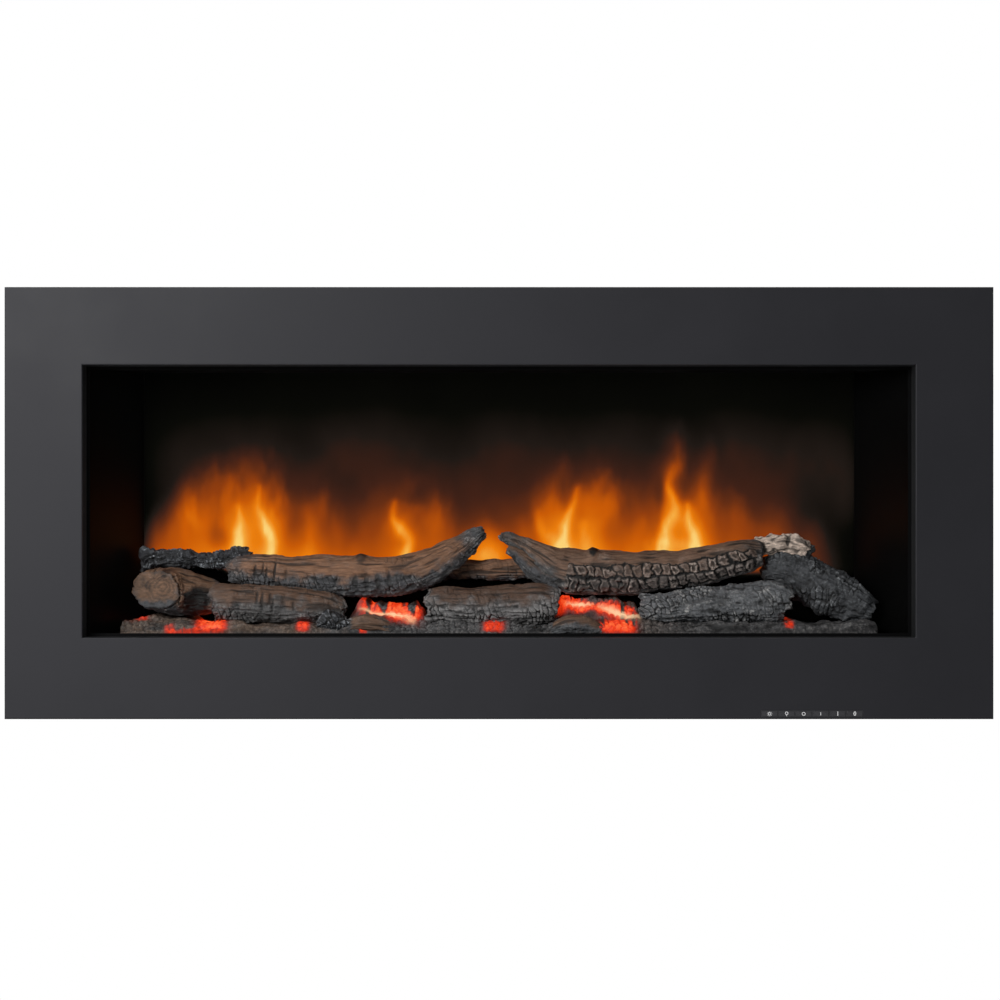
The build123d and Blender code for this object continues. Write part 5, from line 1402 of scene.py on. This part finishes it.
@dataclass
class EmberBed:
    """Moulded bed with a rolled front, two raised mounds and patches lit from below."""

    seed: int = 200
    around: int = 12
    rings: int = 98
    lip: float = 0.0075  # depth of the rolled front
    rise: float = 0.0145  # height of the rolled front
    deck: float = 0.0165  # height of the flat top
    glows: tuple[Patch, ...] = each(
        Patch, (-0.452, -0.141, 0.018, 0.0042, 1.0), (-0.403, -0.154, 0.007, 0.005, 0.75),
        (-0.385, -0.158, 0.022, 0.003, 0.45), (-0.352, -0.148, 0.020, 0.010, 1.1),
        (-0.240, -0.151, 0.009, 0.006, 0.8), (-0.166, -0.153, 0.005, 0.006, 0.9),
        (-0.138, -0.122, 0.036, 0.018, 1.2), (-0.118, -0.138, 0.022, 0.010, 1.1),
        (-0.006, -0.150, 0.014, 0.005, 0.85), (0.086, -0.124, 0.020, 0.014, 0.85),
        (0.118, -0.128, 0.030, 0.006, 0.9), (0.148, -0.134, 0.028, 0.008, 0.8),
        (0.146, -0.151, 0.022, 0.008, 1.25), (0.355, -0.150, 0.006, 0.005, 0.7),
    )
    streaks: tuple[Streak, ...] = each(
        Streak, ((-0.171, -0.130), (-0.104, -0.143), 0.0022), ((-0.150, -0.136), (-0.104, -0.145), 0.0026),
        ((0.084, -0.127), (0.116, -0.125), 0.0018), ((0.124, -0.127), (0.172, -0.142), 0.0026),
        ((-0.378, -0.138), (-0.345, -0.139), 0.0018),
    )
    mounds: tuple[tuple[float, float, float], ...] = (
        (-0.456, -0.388, 0.30), (-0.188, -0.094, 1.0), (0.066, 0.186, 1.0),
    )

    def build(self) -> Bench:
        """Models a roll along X and pulls its section to the bed's outline."""
        low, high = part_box("ember_bed")
        length = high.x - low.x
        bench = rolled("ember_bed_moulding", self.around, self.rings, (0.3,))
        points = bench.points()
        across = np.clip(points[:, 0], -1, 1) * length / 2
        turn = np.mod(np.arctan2(points[:, 2], -points[:, 1]) / (2 * math.pi) + 0.25, 1.0)
        reach = np.clip(np.hypot(points[:, 1], points[:, 2]), 0, 1)
        top = low.z + self.deck
        mound = np.zeros_like(across)
        for left, right, share in self.mounds:
            shape = ease(left - 0.008, left + 0.016, across) * ease(right + 0.008, right - 0.018, across)
            mound = np.maximum(mound, share * shape)
        crest = Field.rough(across[:, None], 0.02, self.seed + 21, 3)
        lift = (high.z - top - 0.002) * mound * np.clip(0.88 + 0.22 * crest, 0, 1)
        stops = np.array([0.0, 0.12, 0.34, 0.42, 0.60, 0.80, 0.90, 1.0])
        front = low.y + np.array([0.0, 0.001, self.lip, 0.020, 0.030])
        y_stops = np.array([high.y, *front, high.y - 0.006, high.y])
        z_share = np.array([0.0, 0.0, 0.62, 0.96, 1.0, 1.0, 1.0, 0.0])
        lifted = np.array([0.0, 0.0, 0.0, 0.0, 0.12, 1.0, 1.0, 0.0])
        y = np.interp(turn, stops, y_stops)
        z = low.z + self.rise * np.interp(turn, stops, z_share) + lift * np.interp(turn, stops, lifted)
        middle_y, middle_z = (low.y + high.y) / 2, low.z + self.rise / 2
        y = middle_y + (y - middle_y) * reach
        z = middle_z + (z - middle_z) * reach
        splay = 1 - 0.056 * (y - low.y) / (high.y - low.y)
        surface = np.stack([across * splay, y, z], axis=1)
        self.carve(bench, surface, turn, low.z)
        bench.mesh.shade_smooth()
        return bench

    def carve(self, bench: Bench, surface: np.ndarray, turn: np.ndarray, foot: float) -> None:
        """Lumps the skin, and marks where it is warm in colour, cracked and under painted shade, lit and
        hot.

        Args:
            bench: The bed on the bench.
            surface: Its smooth skin.
            turn: Place round the section, with the front and the top between 0.15 and 0.9.
            foot: Height of the bed's underside.
        """
        x, z = surface[:, 0], surface[:, 2]
        seen = ease(0.14, 0.22, turn) * ease(0.94, 0.86, turn)
        seed = self.seed
        lumps = Field.rough(surface, 0.016, seed + 1, 4)
        wall, own = Field.cells(np.stack([x, z * 1.4 + surface[:, 1]], axis=1), 0.0075, seed + 7)
        rocky = ease(0.10, 0.45, Field.rough(surface[:, :1], 0.09, seed + 11, 2) + 0.35 * (x < 0.17))
        swells = Field.rough(surface, (0.030, 0.020, 0.020), seed + 3, 3)
        stones = ease(0.0, 0.4, wall) * (0.5 + own) - 0.6
        relief = 0.0014 * lumps + 0.0060 * swells + 0.0020 * rocky * stones
        glow = np.zeros_like(x)
        for patch in self.glows:
            across, above = (x - patch.x) / patch.width, (z - patch.z) / patch.height
            glow += patch.strength * bell(across**2) * bell(above**2)
        grain = ease(0.02, 0.16, wall)
        drips = Field.rough(np.stack([x, z * 0.5], axis=1), 0.009, seed + 29, 3)
        glow *= (0.70 + 0.30 * grain) * (0.90 + 0.35 * lumps) * ease(-0.55, -0.05, drips - 24 * (z + 0.128))
        hot = np.zeros_like(x)
        for streak in self.streaks:
            start, end = np.array(streak.start), np.array(streak.end)
            run = end - start
            flat = np.stack([x, z], axis=1) - start
            share = np.clip(flat @ run / (run @ run), 0, 1)
            gap = np.linalg.norm(flat - share[:, None] * run, axis=1)
            hot = np.maximum(hot, bell(gap / streak.width) * (0.4 + 0.6 * np.sin(math.pi * share)))
        surface = surface.copy()
        surface[:, 2] += seen * relief
        surface[:, 1] -= 0.6 * seen * relief * ease(0.45, 0.30, turn)
        surface[:, 2] = np.maximum(surface[:, 2], foot)
        bench.move(surface)
        patches = Field.rough(surface, (0.035, 0.012, 0.008), seed + 33, 4)
        warm = ease(-0.15, -0.25, x + 0.05 * lumps) * (0.7 + 0.5 * patches) + 0.5 * bell((x - 0.16) / 0.05)
        # darker where the lumps dip, and painted shade over the bed's left end by the firebox wall
        hollows = np.maximum(ease(-0.05, -0.6, patches + 0.4 * lumps), 0.7 * ease(-0.440, -0.460, x))
        bench.mark("warm", np.clip(warm, 0, 1))
        # dark cracks between the stones, and painted shade in the hollows and at the left end
        bench.mark("crack", seen * np.maximum(0.8 * ease(0.10, 0.01, wall) * rocky, 0.75 * hollows))
        bench.mark("glow", np.clip(glow, 0, 1))
        bench.mark("hot", np.clip(hot, 0, 1))

    def place(self) -> None:
        """Builds the bed and files it with the frame."""
        bench = self.build()
        bench.place("casing", "ember_resin", Embers().material("ember_glow"), "ember_bed")


# ---- flame image
@dataclass(frozen=True)
class Plume:
    """A soft body of flame that rises from behind the logs."""

    foot: float
    tip: float
    top: float
    spread: float
    heat: float


@dataclass(frozen=True)
class Tongue:
    """A bright licking strand: points of x and z, from its root to its tip."""

    path: tuple[tuple[float, float], ...]
    width: float
    heat: float


@dataclass
class FlameScreen:
    """Flat diffuser panel with the flame image on its front."""

    seed: int = 300
    pitch: float = 0.0029
    root: float = -0.075  # height from which the flames rise
    lean: float = 0.56  # how fast the left side of the fire draws in with height
    plumes: tuple[Plume, ...] = each(
        Plume, (-0.435, -0.425, 0.040, 0.036, 0.40), (-0.388, -0.378, 0.078, 0.050, 0.52),
        (-0.345, -0.345, 0.086, 0.046, 0.46), (-0.315, -0.312, 0.084, 0.052, 0.54),
        (-0.280, -0.275, 0.060, 0.036, 0.44), (-0.240, -0.235, 0.040, 0.030, 0.42),
        (-0.205, -0.200, 0.025, 0.024, 0.36), (-0.160, -0.170, 0.020, 0.030, 0.26),
        (-0.125, -0.132, 0.060, 0.044, 0.42), (-0.078, -0.088, 0.038, 0.034, 0.46),
        (-0.010, -0.015, 0.000, 0.034, 0.60), (0.030, 0.030, 0.010, 0.022, 0.40),
        (0.075, 0.075, 0.074, 0.040, 0.60), (0.125, 0.128, 0.084, 0.042, 0.62),
        (0.170, 0.180, 0.072, 0.036, 0.46), (0.215, 0.214, 0.104, 0.034, 0.58),
        (0.255, 0.262, 0.098, 0.030, 0.54), (0.300, 0.300, 0.050, 0.034, 0.40),
        (0.345, 0.345, 0.030, 0.036, 0.34), (0.395, 0.390, 0.000, 0.030, 0.22),
    )
    tongues: tuple[Tongue, ...] = each(
        Tongue, (((-0.329, -0.064), (-0.327, -0.044), (-0.325, -0.024), (-0.328, -0.004)), 0.0070, 0.40),
        (
            ((-0.288, -0.066), (-0.286, -0.045), (-0.296, -0.022), (-0.305, -0.004), (-0.303, 0.020)),
            0.0068, 0.46,
        ),
        (((-0.240, -0.060), (-0.238, -0.030), (-0.242, -0.002)), 0.0100, 0.14),
        (
            ((-0.118, -0.066), (-0.113, -0.048), (-0.122, -0.032), (-0.132, -0.016), (-0.130, 0.004)),
            0.0060, 0.48,
        ),
        (((-0.036, -0.070), (0.000, -0.066), (0.045, -0.072)), 0.0140, 0.22),
        (((0.080, -0.064), (0.066, -0.048), (0.054, -0.030), (0.052, -0.008)), 0.0085, 0.28),
        (((0.084, -0.064), (0.082, -0.044), (0.089, -0.014), (0.097, 0.006), (0.100, 0.022)), 0.0070, 0.44),
        (((0.112, -0.062), (0.108, -0.043), (0.108, -0.022)), 0.0080, 0.34),
        (((0.116, 0.012), (0.128, 0.028), (0.140, 0.044)), 0.0080, 0.10),
        (
            (
                (0.204, -0.062), (0.209, -0.030), (0.223, -0.008), (0.222, 0.008), (0.212, 0.024),
                (0.216, 0.044),
            ),
            0.0072, 0.44,
        ),
        (((0.248, -0.062), (0.245, -0.036), (0.239, -0.018), (0.240, 0.004)), 0.0068, 0.40),
        (((0.196, -0.056), (0.226, -0.052), (0.258, -0.058)), 0.0120, 0.22),
    )
    hollows: tuple[Patch, ...] = each(
        Patch, (-0.351, -0.040, 0.013, 0.016, 0.42), (-0.250, -0.030, 0.014, 0.024, 0.30),
        (-0.103, 0.006, 0.013, 0.013, 0.40), (0.140, -0.030, 0.018, 0.028, 0.22),
        (0.196, 0.010, 0.007, 0.018, 0.30),
    )

    def build(self) -> Bench:
        """Models the panel as a fine grid with a thickness and paints the heat on it."""
        low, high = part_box("flame_screen")
        width, height, thick = high.x - low.x, high.z - low.z, high.y - low.y
        bench = Bench(
            "flame_screen_panel",
            add="primitive_grid_add",
            x_subdivisions=round(width / self.pitch),
            y_subdivisions=round(height / self.pitch),
            size=1.0,
            rotation=(math.pi / 2, 0.0, 0.0),
        )
        bench.piece.scale = (width, 1.0, height)
        bench.piece.location = ((low.x + high.x) / 2, low.y, (low.z + high.z) / 2)
        settle()
        bench.whole()
        bpy.ops.mesh.extrude_region_move(TRANSFORM_OT_translate={"value": (0.0, thick, 0.0)})
        bpy.ops.mesh.select_all(action="SELECT")
        bpy.ops.mesh.normals_make_consistent(inside=False)
        bench.done()
        bench.mark("blaze", self.heat(bench.points()))
        return bench

    def heat(self, points: np.ndarray) -> np.ndarray:
        """The flame image: plumes warped by turbulence, with strands over them.

        Args:
            points: The panel's points.

        Returns:
            Heat from 0 to 1 for each point.
        """
        flat = points[:, (0, 2)]
        sway = Field.rough(flat, (0.05, 0.08), self.seed + 1, 3)
        lick = Field.rough(flat, (0.022, 0.055), self.seed + 7, 4)
        height = flat[:, 1] - self.root
        loose = ease(-0.02, 0.12, height)
        x = flat[:, 0] + (0.012 * sway + 0.006 * lick) * loose
        z = flat[:, 1] + (0.014 * sway + 0.010 * lick) * loose
        body = np.zeros(len(points))
        for plume in self.plumes:
            share = (z - self.root) / (plume.top - self.root)
            centre = plume.foot + (plume.tip - plume.foot) * np.clip(share, 0, 1.2)
            across = (x - centre) / (plume.spread * (1 - 0.35 * np.clip(share, 0, 1)))
            fade = ease(1.12, 0.30, share)
            body += (plume.heat * fade * bell(across)) ** 2
        edge = flat[:, 0] - self.lean * np.maximum(height, 0)
        body = np.sqrt(body) * ease(-0.500, -0.428, edge)
        wisps = Field.rough(np.stack([x, z * 0.4], axis=1), 0.028, self.seed + 11, 3)
        body *= 1 + 0.24 * wisps * ease(0.0, 0.08, height)
        for hollow in self.hollows:
            apart = np.hypot((x - hollow.x) / hollow.width, (z - hollow.z) / hollow.height)
            body *= 1 - hollow.strength * bell(apart)
        strands = np.zeros(len(points))
        for tongue in self.tongues:
            strands += self.strand(np.stack([x, z], axis=1) * 0.35 + flat * 0.65, tongue)
        sides = ease(-0.52, -0.38, edge) * ease(0.475, 0.27, flat[:, 0])
        haze = 0.48 * np.exp(-np.maximum(height - 0.01, 0) / 0.080) * (1 + 0.18 * sway) * sides
        veil = 0.122 * bell((flat[:, 1] - 0.037) / 0.084) * (1 + 0.15 * sway)
        veil *= ease(-0.500, -0.37, flat[:, 0]) * ease(0.475, 0.43, flat[:, 0])
        light = (body**3 + haze**3 + veil**3) ** (1 / 3) + strands * (0.62 + 0.35 * lick)
        foot = flat[:, 1] - 0.012 * ease(-0.33, -0.36, flat[:, 0])
        return np.clip(light * ease(-0.092, -0.080, foot) * ease(-0.467, -0.430, flat[:, 0]), 0, 1)

    def strand(self, flat: np.ndarray, tongue: Tongue) -> np.ndarray:
        """The light of one strand, which thins to its tip and has a soft halo."""
        rows = np.array(tongue.path)
        steps = np.linspace(0, 1, 6 * len(rows))
        spine = smooth_path(rows, steps)
        light = np.zeros(len(flat))
        box = np.abs(flat - spine.mean(axis=0))
        near = (box[:, 0] < 0.07) & (box[:, 1] < 0.12)
        close = flat[near]
        best = np.zeros(len(close))
        for share, point in zip(steps, spine):
            gap = np.linalg.norm(close - point, axis=1)
            width = tongue.width * (1.1 - 0.7 * share**2)
            core, halo = 0.85 * bell(gap / width) * (1 - 0.7 * share**2), 0.34 * bell(gap / (2.4 * width))
            best = np.maximum(best, core + halo)
        light[near] = best * tongue.heat
        return light

    def place(self) -> None:
        """Builds the panel and files it with the frame."""
        bench = self.build()
        bench.place("casing", "flame_diffuser", FlameLight().material("flame_light"), "flame_screen")


# ---- printed marks
class Sign(Enum):
    """The mark on each key, left to right."""

    FLAME = "key_flame"
    LAMP = "key_lamp"
    DIMMER = "key_dimmer"
    HEAT = "key_heat"
    ON = "key_on"
    OFF = "key_off"


@dataclass
class KeyMark:
    """A thin printed sign that lies in the shallow field of its key."""

    sign: Sign
    ink: float = 0.00005  # how thick the ink lies
    line: float = 0.00075  # how wide a stroke is
    tick_reach: float = 0.0027  # from the key's middle to a tick
    figure: float = 0.0070  # font size of the figures
    bold: float = 0.00012  # how much the figures are thickened

    def parts(self) -> list[bpy.types.Object]:
        """Models the sign's strokes about the key's middle."""
        low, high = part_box(self.sign.value)
        x, z = (low.x + high.x) / 2, (low.z + high.z) / 2
        strokes = []
        if self.sign is Sign.FLAME:
            strokes.append(self.ring(x, z, 0.0015))
            for turn in range(8):
                angle = turn * math.pi / 4
                across, up = self.tick_reach * math.cos(angle), self.tick_reach * math.sin(angle)
                strokes.append(self.bar(x + across, z + up, 0.0007, angle))
        elif self.sign is Sign.LAMP:
            strokes.append(self.ring(x, z + 0.0008, 0.0016))
            strokes.append(self.bar(x, z - 0.0022, 0.0013, 0.0))
        elif self.sign is Sign.DIMMER:
            strokes.append(self.ring(x, z, 0.0019))
        elif self.sign is Sign.HEAT:
            strokes.append(self.bar(x, z, 0.0036, math.pi / 2))
        else:
            strokes.append(self.digit(x, z, "1" if self.sign is Sign.ON else "0"))
        return strokes

    def ring(self, x: float, z: float, radius: float) -> bpy.types.Object:
        """A flat ring."""
        bench = Bench(
            "ring",
            add="primitive_torus_add",
            major_radius=radius,
            minor_radius=self.line / 2,
            major_segments=28,
            minor_segments=8,
            rotation=(math.pi / 2, 0.0, 0.0),
        )
        bench.piece.scale = (1.0, self.ink / self.line, 1.0)
        bench.piece.location = (x, 0.0, z)
        settle()
        return bench.piece

    def bar(self, x: float, z: float, length: float, angle: float) -> bpy.types.Object:
        """A flat stroke with softened corners, turned about the key's axis."""
        bench = Bench("bar", add="primitive_cube_add", size=1.0)
        bench.piece.scale = (length, self.ink, self.line)
        settle()
        bench.whole()
        bpy.ops.mesh.bevel(offset=self.ink / 4, segments=1)
        bench.done()
        bench.piece.rotation_euler = (0.0, -angle, 0.0)
        bench.piece.location = (x, 0.0, z)
        settle()
        return bench.piece

    def digit(self, x: float, z: float, letter: str) -> bpy.types.Object:
        """A plain figure, made a mesh."""
        bpy.ops.object.select_all(action="DESELECT")
        bpy.ops.object.text_add(rotation=(math.pi / 2, 0.0, 0.0))
        text = bpy.context.object
        text.data.body = letter
        text.data.size = self.figure
        text.data.offset = self.bold
        text.data.extrude = self.ink / 2
        text.data.resolution_u = 4
        text.data.align_x = "CENTER"
        text.data.align_y = "CENTER"
        bpy.ops.object.convert(target="MESH")
        text = bpy.context.object
        bpy.ops.object.mode_set(mode="EDIT")
        bpy.ops.mesh.select_all(action="SELECT")
        bpy.ops.mesh.remove_doubles(threshold=0.000002)
        bpy.ops.object.mode_set(mode="OBJECT")
        text.location = (x, 0.0, z)
        settle()
        return text

    def place(self, finish: Material) -> None:
        """Joins the strokes, lays them in the key's field and files them with the frame."""
        strokes = self.parts()
        bpy.ops.object.select_all(action="DESELECT")
        for stroke in strokes:
            stroke.select_set(True)
        bpy.context.view_layer.objects.active = strokes[0]
        if len(strokes) > 1:
            bpy.ops.object.join()
        mark = bpy.context.view_layer.objects.active
        mark.name = self.sign.value.replace("key_", "mark_")
        mark.location.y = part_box(self.sign.value)[0].y + 0.0001 - self.ink / 2
        bpy.ops.object.select_all(action="DESELECT")
        mark.select_set(True)
        settle()
        mark.data.materials.clear()
        mark.data.materials.append(finish)
        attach(mark, self.sign.value + "_body")
        LOG.info("%s: printed mark on %s", mark.name, self.sign.value)


# ---- studio
@dataclass(frozen=True)
class Softbox:
    """A rectangular studio lamp aimed at a point."""

    name: str
    place: tuple[float, float, float]
    aim: tuple[float, float, float]
    width: float
    height: float
    power: float

    def build(self) -> None:
        """Adds the lamp."""
        data = bpy.data.lights.new(self.name, "AREA")
        data.shape = "RECTANGLE"
        data.size = self.width
        data.size_y = self.height
        data.energy = self.power
        lamp = bpy.data.objects.new(self.name, data)
        bpy.context.scene.collection.objects.link(lamp)
        lamp.location = self.place
        lamp.rotation_euler = (Vector(self.aim) - Vector(self.place)).to_track_quat("-Z", "Y").to_euler()
        LOG.info("%s: %.0f W", self.name, self.power)


@dataclass
class Studio:
    """Camera, lamps, pale floor and a white surround."""

    distance: float = 2.5
    eye_height: float = -0.030
    eye_side: float = 0.0012
    share_of_frame: float = 0.9895
    centre_height: float = 0.0037
    ambient: float = 0.10
    floor_drop: float = 0.6  # from the object's underside
    floor_middle: float = -1.1
    floor_size: tuple[float, float] = (7.0, 3.8)
    lamps: tuple[Softbox, ...] = (
        Softbox("key_lamp", (-1.22, -1.80, 0.66), (-0.28, -0.17, -0.08), 1.3, 0.7, 39.0),
        Softbox("fill_lamp", (2.4, -2.2, 1.2), (0.2, -0.17, -0.1), 1.0, 1.0, 1.5),
        Softbox("top_lamp", (0.2, -0.4, 2.3), (0.0, -0.1, 0.0), 1.6, 1.0, 20.0),
        Softbox("rear_lamp", (-1.6, 2.2, 1.4), (0.0, 0.0, 0.0), 1.4, 1.4, 60.0),
        Softbox("rear_fill", (2.0, 1.9, 0.3), (0.0, 0.0, 0.0), 1.2, 1.2, 34.0),
    )

    def camera(self) -> None:
        """Adds the camera: level, square to the fascia, framing its whole width."""
        low, high = CAD_BOX
        scene = bpy.context.scene
        data = bpy.data.cameras.new("camera")
        frame_width = (high.x - low.x) / self.share_of_frame
        data.sensor_width = 36.0
        data.lens = data.sensor_width * self.distance / frame_width
        data.shift_y = (self.centre_height - self.eye_height) / frame_width
        camera = bpy.data.objects.new("camera", data)
        scene.collection.objects.link(camera)
        camera.location = (self.eye_side, low.y - self.distance, self.eye_height)
        camera.rotation_euler = (math.pi / 2, 0.0, 0.0)
        scene.camera = camera

    def surround(self) -> None:
        """White to the eye, dim as a light, so that the glass stays clear."""
        world = bpy.data.worlds.new("surround")
        bpy.context.scene.world = world
        world.use_nodes = True
        tree = world.node_tree
        tree.nodes.clear()
        seen = tree.nodes.new("ShaderNodeBackground")
        seen.inputs["Color"].default_value = (1.0, 1.0, 1.0, 1.0)
        lit = tree.nodes.new("ShaderNodeBackground")
        lit.inputs["Color"].default_value = (0.95, 0.97, 1.0, 1.0)
        lit.inputs["Strength"].default_value = self.ambient
        path = tree.nodes.new("ShaderNodeLightPath")
        mix = tree.nodes.new("ShaderNodeMixShader")
        out = tree.nodes.new("ShaderNodeOutputWorld")
        tree.links.new(path.outputs["Is Camera Ray"], mix.inputs[0])
        tree.links.new(lit.outputs[0], mix.inputs[1])
        tree.links.new(seen.outputs[0], mix.inputs[2])
        tree.links.new(mix.outputs[0], out.inputs["Surface"])

    def floor(self) -> None:
        """A pale floor well under the wall-hung object."""
        bpy.ops.object.select_all(action="DESELECT")
        place = (0.0, self.floor_middle, CAD_BOX[0].z - self.floor_drop)
        bpy.ops.mesh.primitive_plane_add(size=1.0, location=place)
        floor = bpy.context.object
        floor.name = "floor"
        floor.scale = (*self.floor_size, 1.0)
        g = Graph("floor_paper")
        clouds = g.noise(2.0, 3.0)
        base = g.ramp(clouds, [(0.3, grey(222)), (0.7, grey(232))])
        floor.data.materials.append(g.surface(base, 0.8))

    def build(self) -> None:
        """Sets up the whole studio."""
        scene = bpy.context.scene
        scene.view_settings.view_transform = "Standard"
        scene.view_settings.look = "None"
        self.camera()
        self.surround()
        self.floor()
        for lamp in self.lamps:
            lamp.build()


# ---- all of it
def main() -> None:
    """Builds the fireplace's looks, piece by piece."""
    logging.basicConfig(level=logging.INFO, format="%(name)s %(message)s")
    wardrobe = Wardrobe(frame["record"])
    wardrobe.dress(frame["nodes"])
    Studio().build()
    FlameScreen().place()
    EmberBed().place()
    for timber in timbers():
        timber.place()
    ink = MARK_INK.material("mark_ink")
    for sign in Sign:
        KeyMark(sign).place(ink)


if __name__ == "__main__":
    main()
